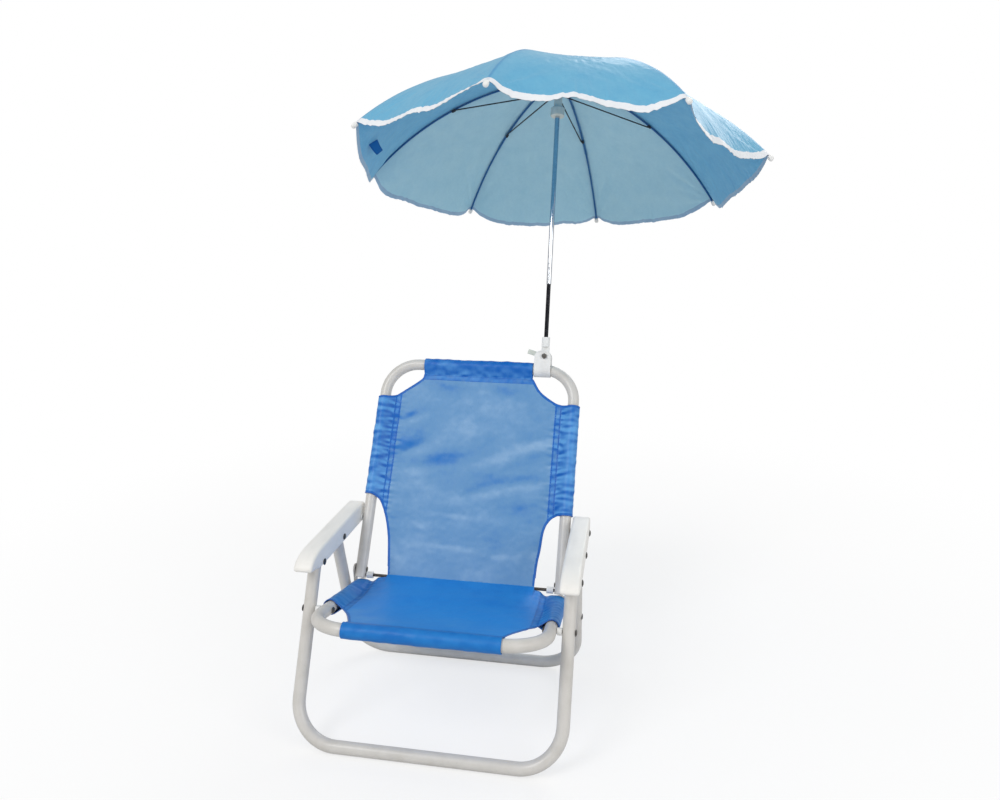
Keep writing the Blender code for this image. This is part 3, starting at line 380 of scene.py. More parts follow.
# The back is the same nylon as the seat: its paler colours are painted light, for light that comes
# through the thin cloth and its sheen.
back_nylon_backlit = chair_nylon("back_nylon_backlit", srgb(100, 150, 196), srgb(36, 116, 194),
                         srgb(146, 182, 216), srgb(98, 166, 226), srgb(12, 100, 188), TOP_SEAM)
edge_nylon = nylon("edge_nylon", srgb(30, 104, 190), srgb(18, 88, 178), srgb(10, 70, 158))
canopy_outer = nylon("canopy_outer", srgb(108, 180, 212), srgb(86, 164, 204), srgb(64, 144, 194),
                     0.5, sheen=0.02)
# The inner skins are the same cloth as the outer one: their paler colours, and the bluer ones of the
# side gores, are painted light that comes through it.
canopy_inner_backlit = nylon("canopy_inner_backlit", srgb(183, 224, 238), srgb(163, 211, 230), srgb(110, 171, 210),
                     0.6, sheen=0.1)
canopy_side_backlit = nylon("canopy_side_backlit", srgb(122, 194, 229), srgb(95, 172, 218), srgb(72, 150, 205),
                    0.55, sheen=0.08)
inner_binding = nylon("inner_binding", srgb(164, 195, 219), srgb(140, 175, 206),
                      srgb(114, 153, 193), 0.6)
binding = nylon("binding", srgb(240, 242, 244), srgb(226, 230, 236), srgb(206, 214, 224),
                0.7, sheen=0.0)
strap_nylon = nylon("strap_nylon", srgb(14, 116, 190), srgb(4, 104, 182), srgb(2, 90, 168),
                    0.55, sheen=0.0)
thread = metal("thread", srgb(36, 96, 196), srgb(70, 130, 220), 0.7, 0.0)
print("materials", len(bpy.data.materials))


# %% [markdown]
# ## Building helpers
#
# Every piece below is a curve, a turned profile, an extruded outline or a grid of points.


# %% Mesh helpers
def new_mesh(name, points, faces, material, smooth=math.radians(40)):
    mesh = bpy.data.meshes.new(name)
    mesh.from_pydata([tuple(p) for p in points], [], faces)
    return new_object(name, mesh, material, smooth)


def new_object(name, data, material, smooth=math.radians(40)):
    made = bpy.data.objects.new(name, data)
    bpy.context.scene.collection.objects.link(made)
    for entry in material if isinstance(material, (list, tuple)) else [material]:
        data.materials.append(entry.material)
    if isinstance(data, bpy.types.Mesh):
        data.polygons.foreach_set("use_smooth", [True] * len(data.polygons))
        if smooth:
            data.set_sharp_from_angle(angle=smooth)
    return made


def applied(made):
    """The object with its modifiers made real, and its curve turned into a mesh."""
    graph = bpy.context.evaluated_depsgraph_get()
    mesh = bpy.data.meshes.new_from_object(made.evaluated_get(graph))
    name, data = made.name, made.data
    bpy.data.objects.remove(made)
    if isinstance(data, bpy.types.Mesh):
        bpy.data.meshes.remove(data)
    mesh.name = name
    made = bpy.data.objects.new(name, mesh)
    bpy.context.scene.collection.objects.link(made)
    return made


def pipe(name, points, radius, material, roundness=8, smooth=math.radians(50)):
    curve = bpy.data.curves.new(name, "CURVE")
    curve.dimensions, curve.bevel_depth, curve.bevel_resolution = "3D", radius, roundness
    curve.use_fill_caps = True
    spline = curve.splines.new("POLY")
    spline.points.add(len(points) - 1)
    for place, point in zip(spline.points, points):
        place.co = (*point, 1)
    made = applied(new_object(name, curve, material))
    made.data.polygons.foreach_set("use_smooth", [True] * len(made.data.polygons))
    made.data.set_sharp_from_angle(angle=smooth)
    return made


def arc(cx, cy, radius, start, end, steps):
    turn = [math.radians(start + (end - start) * i / steps) for i in range(steps + 1)]
    return [(cx + radius * math.cos(a), cy + radius * math.sin(a)) for a in turn]


def bent(half, length, corner, foot, way):
    """The path of a tube bent into a U, with fine corners."""
    flat = [(-half, length), *arc(corner - half, corner, corner, 180, 270, 22)]
    flat += [*arc(half - corner, corner, corner, 270, 360, 22), (half, length)]
    return [foot + X * x + way * s for x, s in flat]


def modifier(made, kind, **settings):
    added = made.modifiers.new(kind.lower(), kind)
    for key, value in settings.items():
        setattr(added, key, value)
    return added


def dress(node, material, edge=0.0004):
    """A CAD piece that is shown as it is: its edges are broken, and it gets its surface."""
    made = nodes[node]
    made.data.materials.clear()
    made.data.materials.append(material.material)
    modifier(made, "WELD", merge_threshold=0.00001)
    if edge:
        modifier(made, "BEVEL", width=edge, segments=2, limit_method="ANGLE",
                 angle_limit=math.radians(35), harden_normals=False)
    return made


# %% [markdown]
# ## The tube frames
#
# Four lengths of steel tube, 19 mm across, each bent cold into a U on a former. The front legs
# lean back, the rear legs lean forward, and both cross bars lie on the floor. The ends are cut
# square. They are drawn here as fine curves so that the bends are round.

# %% Four bent tubes
up_front = (front_leg(1) - front_leg(0)).normalized()
up_rear = (rear_leg(1) - rear_leg(0)).normalized()
floor_bar, rear_bar = front_leg(TUBE), rear_leg(TUBE)
tubes = {
    "front_leg_frame": ("front_legs", LEGS, (front_leg(0.2453) - floor_bar).length + 0.011,
                        BEND, floor_bar, up_front),
    "rear_leg_frame": ("rear_legs", LEGS, (rear_leg(0.2493) - rear_bar).length + 0.008,
                       BEND, rear_bar, up_rear),
    "seat_frame": ("seat", RAILS, SEAT_FRONT + SEAT_REAR, BEND,
                   SEAT_BOLT - SEAT_ALONG * SEAT_FRONT, SEAT_ALONG),
    "back_frame": ("back", RAILS, BACK_LENGTH + 0.014, TOP_BEND, TOP_BAR, -BACK_ALONG),
}
for node, (body, half, length, corner, foot, way) in tubes.items():
    made = pipe(f"{node}_tube", bent(half, length, corner, foot, way), TUBE, frame_paint)
    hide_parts(node)
    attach(made, body)
print("tubes", len(tubes))

# %% [markdown]
# ## The armrests
#
# Each armrest is a white moulded channel, open underneath. Its flat top runs level, then curves
# down to a rounded front lip. The moulding has generous radii on the upper edges, which catch a
# soft line of light. The shell is cut from a rounded block by a smaller one.


# %% Armrests
def corner_cuts(lines):
    """Two places on each line, a quarter of its length from its ends."""
    cut = []
    for first, second in lines:
        for share in (0.25, 0.75):
            cut.append(tuple(a * (1 - share) + b * share for a, b in zip(first, second)))
    return cut


def smooth_outline(points, rounds=2):
    """An outline with its corners cut again and again, which rounds them."""
    for _ in range(rounds):
        points = corner_cuts(zip(points, points[1:] + points[:1]))
    return points


def slab(name, outline, middle, width, material):
    """An outline in the side view, thick across the chair."""
    curve = bpy.data.curves.new(name, "CURVE")
    curve.dimensions, curve.fill_mode, curve.extrude = "2D", "BOTH", width / 2
    spline = curve.splines.new("POLY")
    spline.use_cyclic_u = True
    spline.points.add(len(outline) - 1)
    for place, point in zip(spline.points, outline):
        place.co = (*point, 0, 1)
    made = applied(new_object(name, curve, material))
    side_view = Matrix(((0, 0, 1, 0), (1, 0, 0, 0), (0, 1, 0, 0), (0, 0, 0, 1)))
    made.data.transform(Matrix.Translation(at(middle, 0, 0)) @ side_view)
    shape = bmesh.new()
    shape.from_mesh(made.data)
    bmesh.ops.remove_doubles(shape, verts=shape.verts, dist=1e-6)
    bmesh.ops.dissolve_limit(shape, angle_limit=0.01, verts=shape.verts, edges=shape.edges)
    shape.to_mesh(made.data)
    shape.free()
    return made


ARM_OUTLINE = [
    (0.0624, 0.2484), (0.0603, 0.2520), (0.0618, 0.2558), (0.0662, 0.2604), (0.0732, 0.2645),
    (0.0840, 0.2682), (0.0980, 0.2704), (0.1250, 0.2710), (0.2920, 0.2710), (0.3000, 0.2690),
    (0.3000, 0.2400), (0.2900, 0.2400), (0.1000, 0.2400), (0.0850, 0.2445), (0.0680, 0.2474),
]
ARM_HOLLOW = [
    (0.0662, 0.2300), (0.0662, 0.2440), (0.0682, 0.2530), (0.0780, 0.2612), (0.0960, 0.2665),
    (0.1250, 0.2680), (0.2940, 0.2680), (0.2970, 0.2650), (0.2970, 0.2300),
]
ARM_LOW, ARM_HIGH = 0.1809, 0.2095
for name, side in SIDES.items():
    middle, width = side * (ARM_LOW + ARM_HIGH) / 2, ARM_HIGH - ARM_LOW
    made = slab(f"armrest_{name}_shell", smooth_outline(ARM_OUTLINE), middle, width, arm_plastic)
    modifier(made, "BEVEL", width=0.0045, segments=6, limit_method="ANGLE",
             angle_limit=math.radians(60))
    hollow = slab("hollow", ARM_HOLLOW, middle, width - 0.006, arm_plastic)
    modifier(made, "BOOLEAN", operation="DIFFERENCE", object=hollow, solver="EXACT")
    made = applied(made)
    bpy.data.objects.remove(hollow)
    made.data.materials.clear()
    made.data.materials.append(arm_plastic.material)
    made.data.polygons.foreach_set("use_smooth", [True] * len(made.data.polygons))
    made.data.set_sharp_from_angle(angle=math.radians(35))
    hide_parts(f"armrest_{name}")
    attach(made, "arms")

# %% [markdown]
# ## Fittings
#
# Rivets and bolts of dark steel join the frames. White spacers keep the tubes apart, white
# plates carry the back, and a bare dark rod runs under the cloth between the back rails.

# %% Rivets, spacers, plates and rod
for name in SIDES:
    for piece in ("arm_front_bolt", "arm_rear_bolt", "arm_back_bolt", "seat_bolt",
                  "hinge_rivet", "prop_rivet"):
        dress(f"{piece}_{name}", rivet_steel, 0.0003)
    for piece in ("seat_spacer", "rod_spacer", "arm_spacer"):
        dress(f"{piece}_{name}", fitting_plastic, 0.0003)
    for piece in ("hinge_plate", "prop_plate"):
        dress(f"{piece}_{name}", frame_paint, 0.0003)
dress("cross_rod", rod_steel, 0)

# %% [markdown]
# ## Clamp and mast
#
# A moulded clamp wraps the top bar. Between its two cheeks sits a knuckle with a short socket.
# A bolt goes through, with a hand nut behind, so the mast can be aimed. The mast is two tubes:
# the thin lower one, which reflects little but dark surroundings, and the brighter upper one.
# The lower one's dark colour is a painted reflection of those surroundings.

# %% Clamp, socket, poles, runner and crown
dress("clamp_body", fitting_plastic, 0.0008)
dress("mast_socket", fitting_plastic, 0.0006)
dress("clamp_nut", clear_plastic, 0.0008)
dress("clamp_bolt", rivet_steel, 0.0003)
dress("lower_pole", chrome_dark_reflection, 0.0003)
dress("upper_pole", chrome, 0.0003)
dress("runner", clear_plastic, 0.0005)
dress("crown", fitting_plastic, 0.0004)
dress("top_cap", fitting_plastic, 0.0006)

# %% [markdown]
# ## The seat and back cloth
#
# One length of thin nylon makes seat and back. Its sides are folded round the rails and its ends
# round the front bar and the top bar, and stitched down as sleeves. Curved cut-outs leave the
# bends of the tubes bare. The cloth is drawn the way it was cut, in flat places: w across it,
# and s along the tubes. One function takes each flat place to its place on the chair, so the
# panel runs into its sleeves without a join, as the real cloth does.

# %% The cut of the cloth
LOOP, TAIL = 0.0113, 0.0110
CLOTH_REACH = 0.6
CREASE, BACK_FOOT, BACK_FORWARD = 0.1445, -0.0062, 0.0045
TOUCH = math.acos(LOOP / SEAM)
ROUND = 2 * SEAM * math.sin(TOUCH) + LOOP * 2 * (math.pi - TOUCH)
WRAP = ROUND + TAIL
CLOTH_HALF = SIDE_SEAM + WRAP
JOINED = {-1: 0.1205, 1: 0.1260}
TOP_HALF = {-1: 0.1015, 1: 0.0938}
FRONT_HALF = 0.112
# Cut-outs as (w, s), from the middle of the chair outwards
LOW_CUT = {
    -1: [(0.1205, BACK_FOOT), (0.1225, 0.0100), (0.1301, 0.0630), (0.1390, 0.0929),
         (0.1502, 0.1169), (0.1590, 0.1235), (0.1740, 0.1288), (CLOTH_HALF, 0.1290)],
    1: [(0.1260, BACK_FOOT), (0.1272, 0.0324), (0.1308, 0.0530), (0.1329, 0.0824),
        (0.1376, 0.0975), (0.1487, 0.1103), (0.1634, 0.1128), (CLOTH_HALF, 0.1135)],
}
HIGH_CUT = {
    -1: [(0.1015, TOP_SEAM), (0.1022, 0.3415), (0.1155, 0.3308), (0.1364, 0.3146),
         (0.1530, 0.3043), (0.1760, 0.3024), (CLOTH_HALF, 0.3020)],
    1: [(0.0938, TOP_SEAM), (0.0958, 0.3474), (0.1076, 0.3265), (0.1241, 0.3142),
        (0.1438, 0.3025), (0.1779, 0.3015), (CLOTH_HALF, 0.3015)],
}
FRONT_CUT = [(FRONT_HALF, FRONT_SEAM), (0.1126, -0.0620), (0.1140, -0.0560), (0.1190, -0.0440),
             (0.1255, -0.0280), (0.1340, -0.0100), (0.1425, 0.0040), (0.1480, 0.0120),
             (0.1530, 0.0150), (CLOTH_HALF, 0.0150)]


def rounded(points, rounds=2):
    """A line with its corners cut again and again, its ends kept."""
    for _ in range(rounds):
        points = [points[0], *corner_cuts(zip(points, points[1:])), points[-1]]
    return points


def resampled(points, step):
    """Places at even steps along a line."""
    line = np.array(rounded(points))
    run = np.concatenate([[0], np.cumsum(np.hypot(*np.diff(line, axis=0).T))])
    places = np.linspace(0, run[-1], max(2, round(run[-1] / step) + 1))
    return np.column_stack([np.interp(places, run, line[:, k]) for k in (0, 1)])


print("cloth half-width", round(CLOTH_HALF, 4), "sleeve round", round(ROUND, 4))

# %% [markdown]
# The section of a sleeve is a drop: from the seam straight to the loop, round it, and back to
# the seam, where the cloth's tail lies under the panel. The table gives, for cloth so far past
# the seam, its distance from the tube towards the panel, its height, and the way it faces.

# %% The sleeve's section
loop = np.linspace(TOUCH, 2 * math.pi - TOUCH, 33)
drop = [(SEAM + CLOTH_REACH, 0.0), (SEAM + 0.004, 0.0), (SEAM, 0.0007)]
drop += [(LOOP * math.cos(a), LOOP * math.sin(a)) for a in loop]
drop += [(SEAM, -0.0013), (SEAM + TAIL, -0.0014)]
drop = np.array(drop)
steps = np.diff(drop, axis=0)
past_table = np.concatenate([[0], np.cumsum(np.hypot(*steps.T))])
past_table -= past_table[2]
ways = np.gradient(drop, past_table, axis=0)
facing = np.column_stack([ways[:, 1], -ways[:, 0]])
facing /= np.hypot(*facing.T)[:, None]
facing[:2], facing[-2:] = (0, 1), (0, 1)


def wrap(past):
    """Distance from the tube, height and facing of cloth that is past the seam by so much."""
    columns = (*drop.T, *facing.T)
    return [np.interp(past, past_table, column) for column in columns]


def unrolled(past):
    """The same, but the tail counts as the panel that it lies under."""
    return np.where(past > ROUND, ROUND - past, past)


# %% [markdown]
# Folds come from how the cloth hangs between its seams. Each row of the table is one soft fold:
# its middle as w and s, its angle, half-length and half-width, and how much it faces up (light)
# or down (dark), which is painted into the colour as light or shade. Gathers run out from the
# seams, which pull the thin cloth together.

# %% Folds and gathers
BACK_FOLDS = [
    (-0.119, 0.272, 24, 0.019, 0.006, -0.8), (-0.113, 0.263, 24, 0.027, 0.006, 0.7),
    (-0.112, 0.219, 34, 0.036, 0.013, -1.3), (-0.066, 0.194, 14, 0.054, 0.010, -0.7),
    (-0.112, 0.205, 21, 0.030, 0.006, 0.6), (-0.102, 0.172, 9, 0.032, 0.008, 0.5),
    (0.060, 0.207, 19, 0.075, 0.010, 0.8), (0.094, 0.168, 9, 0.044, 0.007, -0.8),
    (0.059, 0.150, 15, 0.079, 0.010, 0.8), (0.104, 0.230, 14, 0.033, 0.008, 0.7),
    (0.112, 0.213, 7, 0.026, 0.006, -0.6), (0.051, 0.324, -18, 0.028, 0.008, -0.6),
    (-0.056, 0.327, -17, 0.025, 0.008, -0.5), (-0.076, 0.078, -23, 0.023, 0.004, 0.6),
    (-0.024, 0.100, -3, 0.059, 0.004, 0.4), (-0.024, 0.046, -5, 0.047, 0.004, 0.5),
    (0.064, 0.037, -3, 0.017, 0.004, 0.6), (0.055, 0.022, 57, 0.024, 0.009, 0.5),
    (-0.106, 0.016, -49, 0.017, 0.008, 0.5), (0.021, 0.148, 19, 0.041, 0.008, -0.5),
    (0.102, 0.124, 1, 0.033, 0.008, -0.5), (-0.010, 0.250, 8, 0.070, 0.014, 0.3),
    (0.020, 0.290, -6, 0.060, 0.016, 0.3), (-0.040, 0.140, 4, 0.060, 0.014, 0.25),
]
SEAT_FOLDS = [
    (-0.108, 0.020, 60, 0.040, 0.012, 0.4), (-0.060, 0.060, 20, 0.060, 0.016, -0.3),
    (0.070, 0.050, -30, 0.050, 0.014, 0.3), (0.112, 0.090, 70, 0.040, 0.010, -0.4),
    (0.020, 0.100, 5, 0.080, 0.018, 0.3), (-0.100, 0.110, -60, 0.034, 0.010, 0.4),
]
FOLD_SLOPE, FOLD_SPREAD = 0.24, 1.5
OVER_BAR, OVER_RAIL, SEAT_CALM = 0.0055, 0.0095, 0.5


def rough(a, b, seed):
    """Smooth noise at each place, from -1 to 1."""
    pairs = zip(np.ravel(a), np.ravel(b))
    made = np.array([noise.noise((x, y, seed)) for x, y in pairs])
    return made.reshape(np.shape(a))


def folded(table, w, s):
    """The height of the folds, and the light and shade they paint into the cloth's colour."""
    height, light = np.zeros_like(w), np.zeros_like(w)
    for middle_w, middle_s, angle, half_length, half_width, up in table:
        c, d = math.cos(math.radians(angle)), math.sin(math.radians(angle))
        along = ((w - middle_w) * c + (s - middle_s) * d) / half_length
        off = ((s - middle_s) * c - (w - middle_w) * d) / half_width / FOLD_SPREAD
        bell = np.exp(-along ** 2 - off ** 2)
        height -= FOLD_SLOPE * up * half_width * off * bell
        light += up * bell
    return height, light


def gathers(w, s, side, end):
    """Short creases that run out from the side seams and the end seams."""
    near_side = np.exp(-np.maximum(np.abs(side + 0.006) - 0.006, 0) / 0.009)
    near_end = np.exp(-np.maximum(np.abs(end + 0.004) - 0.004, 0) / 0.006)
    made = 0.0016 * rough(w * 45, s * 150, 3) * near_side
    made += 0.0008 * rough(w * 35, s * 60, 4) * near_side
    made += 0.0009 * rough(w * 150, s * 45, 5) * near_end
    made += 0.0009 * rough(w * 48, s * 120, 6) * (side > 0)
    made += 0.0010 * rough(w * 75, s * 70, 7) * (end > 0)
    made += 0.0009 * rough(w * 26, s * 40, 8) + 0.0003 * rough(w * 90, s * 110, 9)
    return made


def eased(value):
    value = np.clip(value, 0, 1)
    return value * value * (3 - 2 * value)


def panel_height(part, w, s):
    """How far the panel stands off the plane of its rails."""
    if part == "back":
        foot = np.clip(1 - (s - BACK_FOOT) / 0.056, 0, 1)
        loose = eased((s - 0.004) / 0.030)
        return BACK_FORWARD * foot + folded(BACK_FOLDS, w, s)[0] * loose
    share = np.clip((s - FRONT_SEAM) / (CREASE - FRONT_SEAM), 0, 1)
    roof = 1 - np.minimum(1, np.abs(w) / SIDE_SEAM) ** (3 + 7 * share ** 6)
    sag = -0.004 * np.sin(math.pi * share) * (1 - np.minimum(1, np.abs(w) / SIDE_SEAM) ** 2)
    return 0.0217 * share ** 1.5 * roof + sag + folded(SEAT_FOLDS, w, s)[0]


def bridge(w, s, end):
    """The seat's cloth runs over the front bar, and at its rear end over the rails."""
    over_bar = np.where(end > 0, 1 - eased(end / 0.016), np.exp(-(end / 0.045) ** 2))
    beside = np.exp(-((np.abs(w) - SIDE_SEAM) / 0.014) ** 2)
    return OVER_BAR * over_bar * (1 - beside) + OVER_RAIL * beside * eased((s - 0.080) / 0.055)


def skin(part, w, s, lift=0.0):
    """Where flat places lie on the chair, and how high they stand off a smooth cloth."""
    w, s = np.broadcast_arrays(np.asarray(w, float), np.asarray(s, float))
    side = np.abs(w) - SIDE_SEAM
    end = s - TOP_SEAM if part == "back" else FRONT_SEAM - s
    c, d, side_c, side_d = wrap(side)
    e, f, end_e, end_f = wrap(end)
    side, end = unrolled(side), unrolled(end)
    flat_w = np.sign(w) * (side + SIDE_SEAM)
    flat_s = end + TOP_SEAM if part == "back" else FRONT_SEAM - end
    calm = eased((s - BACK_FOOT) / 0.02) if part == "back" else eased((CREASE - s) / 0.02)
    height = gathers(flat_w, flat_s, side, end) * calm
    free = eased(-side / 0.016) * eased(-end / 0.016)
    panel = panel_height(part, flat_w, flat_s) * free
    if part == "seat":
        panel = panel + bridge(flat_w, flat_s, end)
        height = height * SEAT_CALM
    raised = height + lift
    x = np.sign(w) * (RAILS - c - side_c * raised)
    up = d + f + panel + side_d * end_f * raised
    if part == "back":
        start, along, out, y = HINGE, BACK_ALONG, BACK_FRONT, BACK_LENGTH - e - end_e * raised
    else:
        start, along, out, y = SEAT_BOLT, SEAT_ALONG, SEAT_UP, e + end_e * raised - SEAT_FRONT
    places = np.array(start) + np.multiply.outer(x, np.array(X))
    places += np.multiply.outer(y, np.array(along)) + np.multiply.outer(up, np.array(out))
    return places, height + panel


# %% [markdown]
# The mesh is made of four grids that share their borders: the front sleeve, the seat, the back
# and the top sleeve. Every column runs from one cut edge to the other, so the edges are smooth.
# Each point carries its flat place for the weave, the light or shade painted for its fold, and
# whether it is hem.


# %% The grids of the cloth
def inner_columns():
    """The columns that seat and back share, with one at each end of a sleeve."""
    sleeves = [-TOP_HALF[-1], -0.1022, TOP_HALF[1], 0.0958, -FRONT_HALF, FRONT_HALF]
    middle = np.linspace(-0.110, 0.110, 75)
    left, right = np.linspace(-JOINED[-1], -0.110, 12), np.linspace(0.110, JOINED[1], 17)
    return np.unique(np.round(np.concatenate([left, middle, right, sleeves]), 6))


INNER = inner_columns()


def all_columns(cuts, step):
    """The inner columns, and outside them columns at even steps along a cut."""
    outer = {}
    for side, cut in cuts.items():
        places = resampled(cut, step)[:, 0]
        outer[side] = places[places > JOINED[side] + 0.0001]
    return np.concatenate([-outer[-1][::-1], INNER, outer[1]])


def cut_at(cuts, w):
    """Where a cut-out ends a column, for columns on both sides."""
    made = np.empty_like(w)
    for side in (-1, 1):
        line = np.array(rounded(cuts[side]))
        here = w * side >= 0
        made[here] = np.interp(np.abs(w[here]), line[:, 0], line[:, 1])
    return made


def grid(part, columns, low, high, count):
    """Rows of flat places from low to high."""
    share = np.linspace(0, 1, count)[:, None]
    s = low + (high - low) * share + 0 * columns
    return part, columns + 0 * s, s


front_cuts = {-1: FRONT_CUT, 1: FRONT_CUT}
seat_columns, back_columns = all_columns(front_cuts, 0.003), all_columns(LOW_CUT, 0.003)
top_columns = INNER[(INNER >= -TOP_HALF[-1]) & (INNER <= TOP_HALF[1])]
front_columns = INNER[np.abs(INNER) <= FRONT_HALF]
rear_edge = np.full_like(seat_columns, CREASE)
back_low = cut_at(LOW_CUT, back_columns)
grids = [
    grid("seat", front_columns, FRONT_SEAM - WRAP, FRONT_SEAM, 44),
    grid("seat", seat_columns, cut_at(front_cuts, seat_columns), rear_edge, 84),
    grid("back", back_columns, back_low, cut_at(HIGH_CUT, back_columns), 170),
    grid("back", top_columns, TOP_SEAM, TOP_SEAM + WRAP, 44),
]

cut_edges = {"seat": [], "back": []}
for side in (-1, 1):
    for part, line in (("seat", FRONT_CUT), ("back", LOW_CUT[side]), ("back", HIGH_CUT[side])):
        edge = resampled(line, 0.001)
        edge[:, 0] *= side
        cut_edges[part].append(edge)


def edge_tree(part):
    places = np.concatenate(cut_edges[part])
    tree = KDTree(len(places))
    for number, (w, s) in enumerate(places):
        tree.insert((w, s, 0), number)
    tree.balance()
    return tree


trees = {part: edge_tree(part) for part in cut_edges}
joint_places = skin("back", INNER, BACK_FOOT)[0]
points, faces, flats, fold_light_and_shade, hems, kinds = [], [], [], [], [], []
for part, w, s in grids:
    places, height = skin(part, w, s)
    if part == "seat" and len(w[0]) == len(seat_columns):
        inner = np.isin(seat_columns, INNER)
        pull = eased((s[:, inner] - CREASE + 0.022) / 0.022)[..., None]
        places[:, inner] += pull * (joint_places - places[-1, inner])
    # Painted light and shade: where a fold's height falls towards the top the cloth faces up and is
    # painted lighter, where it rises darker, more strongly on the sleeves.
    slope = np.gradient(height, axis=0) / np.maximum(np.gradient(s, axis=0), 1e-6)
    light = folded(BACK_FOLDS if part == "back" else SEAT_FOLDS, w, s)[1]
    rows, columns = w.shape
    start = len(points)
    points.extend(places.reshape(-1, 3).tolist())
    flats.extend(np.column_stack([w.ravel(), s.ravel()]).tolist())
    doubled = (np.abs(w) > SIDE_SEAM) | ((s > TOP_SEAM) if part == "back" else (s < FRONT_SEAM))
    gain = np.where(doubled, 1.6, 0.8)
    fold_light_and_shade.extend((0.5 + 0.24 * light - gain * slope).ravel().tolist())
    hems.extend(float(trees[part].find((a, b, 0))[2] < 0.0036) for a, b in flats[start:])
    corner = (np.arange(rows - 1)[:, None] * columns + np.arange(columns - 1)).ravel() + start
    faces.extend(zip(*(v.tolist() for v in (corner, corner + 1, corner + columns + 1,
                                            corner + columns))))
    kinds.extend([int(part == "back")] * len(corner))
flats = np.array(flats)
flat_corners = flats[np.array(faces)]
across = flat_corners[:, 2] - flat_corners[:, 0]
upward = flat_corners[:, 3] - flat_corners[:, 1]
FLAT_AREA = float(np.abs(across[:, 0] * upward[:, 1] - across[:, 1] * upward[:, 0]).sum() / 2)


# %% The cloth
def carry(made, uv_values, deep_values):
    """Stores the cloth coordinates and the layer value on the mesh."""
    layer = made.data.uv_layers.new(name="cloth")
    for loop in made.data.loops:
        layer.data[loop.index].uv = uv_values[loop.vertex_index]
    made.data.attributes.new("deep", "FLOAT", "POINT").data.foreach_set("value", deep_values)
    return made


def merged(made, distance=0.000002):
    """Grids that share a border become one mesh."""
    shape = bmesh.new()
    shape.from_mesh(made.data)
    bmesh.ops.remove_doubles(shape, verts=shape.verts, dist=distance)
    shape.to_mesh(made.data)
    shape.free()
    return made


cloth = new_mesh("seat_back_cloth", points, faces, [seat_nylon, back_nylon_backlit], None)
carry(cloth, flats, hems)
cloth.data.attributes.new("tone", "FLOAT", "POINT").data.foreach_set("value", fold_light_and_shade)
cloth.data.polygons.foreach_set("material_index", kinds)
merged(cloth)
modifier(cloth, "SOLIDIFY", thickness=0.0006, offset=0)
cloth = applied(cloth)
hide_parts("seat_fabric", "back_fabric")
print("cloth mesh", len(cloth.data.polygons), "faces")

# %% [markdown]
# ## Stitching and hems
#
# Two rows of stitches hold each sleeve of the back, and one row each sleeve of the seat.
# Each stitch is a short thread that dips into the cloth at both ends. The cut edges are rolled
# into a narrow hem of the same nylon, a deeper blue because it is folded three times.


# %% Stitches and rolled hems
def on_cloth(part, w, s, lift=0.0):
    return [Vector(place) for place in skin(part, w, s, lift)[0]]


def stitches(name, lines, body, pitch=0.0036, thick=0.0003):
    """Rows of stitches along lines of points."""
    points, faces = [], []
    facing_way = BACK_FRONT if body == "back" else SEAT_UP
    for line in lines:
        run = np.concatenate([[0], np.cumsum([(b - a).length for a, b in zip(line, line[1:])])])
        flat = np.array(line)
        for spot in np.arange(0, run[-1] - pitch, pitch):
            ends = [Vector([np.interp(place, run, flat[:, k]) for k in range(3)])
                    for place in (spot, spot + pitch * 0.7)]
            way = (ends[1] - ends[0]).normalized()
            side = way.cross(facing_way).normalized()
            rise = side.cross(way)
            base = len(points)
            for share, size in ((0, 0.5), (0.3, 1), (0.7, 1), (1, 0.5)):
                centre = ends[0].lerp(ends[1], share) + rise * thick * size
                for corner in (side, rise, -side, -rise):
                    points.append(centre + corner * thick * size)
            for j in range(3):
                for k in range(4):
                    first, second = base + 4 * j + k, base + 4 * j + (k + 1) % 4
                    faces.append((first, second, second + 4, first + 4))
    made = new_mesh(name, points, faces, thread, None)
    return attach(made, body)


STITCH_LIFT = 0.0003
back_lines, seat_lines = [], []
for side, start in ((-1, 0.1310), (1, 0.1155)):
    for row in STITCH_ROWS:
        back_lines.append(on_cloth("back", side * row, np.linspace(start, 0.300, 160), STITCH_LIFT))
    seam_run = np.linspace(0.018, 0.140, 100)
    seat_lines.append(on_cloth("seat", side * 0.1470, seam_run, STITCH_LIFT))
for row in (0.3400, 0.3480):
    back_lines.append(on_cloth("back", np.linspace(-0.100, 0.0925, 160), row, STITCH_LIFT))
seat_lines.append(on_cloth("seat", np.linspace(-0.110, 0.110, 160), FRONT_SEAM, STITCH_LIFT))
stitches("back_stitches", back_lines, "back")
stitches("seat_stitches", seat_lines, "seat")

for part, edges in cut_edges.items():
    for number, edge in enumerate(edges):
        ends_at = SIDE_SEAM + ROUND
        edge = edge[np.abs(edge[:, 0]) < ends_at]
        start = 0 if part == "seat" or edge[0, 1] > 0.1 else 14
        path = on_cloth(part, edge[start:, 0], edge[start:, 1])
        made = pipe(f"{part}_hem_{number + 1}", path, 0.0008, edge_nylon, 2)
        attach(made, part)

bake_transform(cloth)

# %% [markdown]
# ## Umbrella: ribs, stretchers and caps
#
# Eight sprung ribs leave the crown at the top of the pole. A white cap on each tip holds the
# cloth. Thin stretchers join each rib to the sliding runner. The dome is part of a sphere.

# %% Dome sizes
TIPS_AT, RADIUS, RISE = 0.357, 0.3675, 0.166
DOME = (RADIUS ** 2 + RISE ** 2) / (2 * RISE)
FIRST = math.radians(-99.3)
STEP = math.radians(45)
RIB_UNDER, CLIP_AT = 0.0032, 0.200


def dome(radius):
    return TIPS_AT + RISE - (DOME - math.sqrt(max(0, DOME ** 2 - radius ** 2)))


def rib_frame(number):
    return MAST @ Matrix.Rotation(FIRST + STEP * number, 4, "Z")


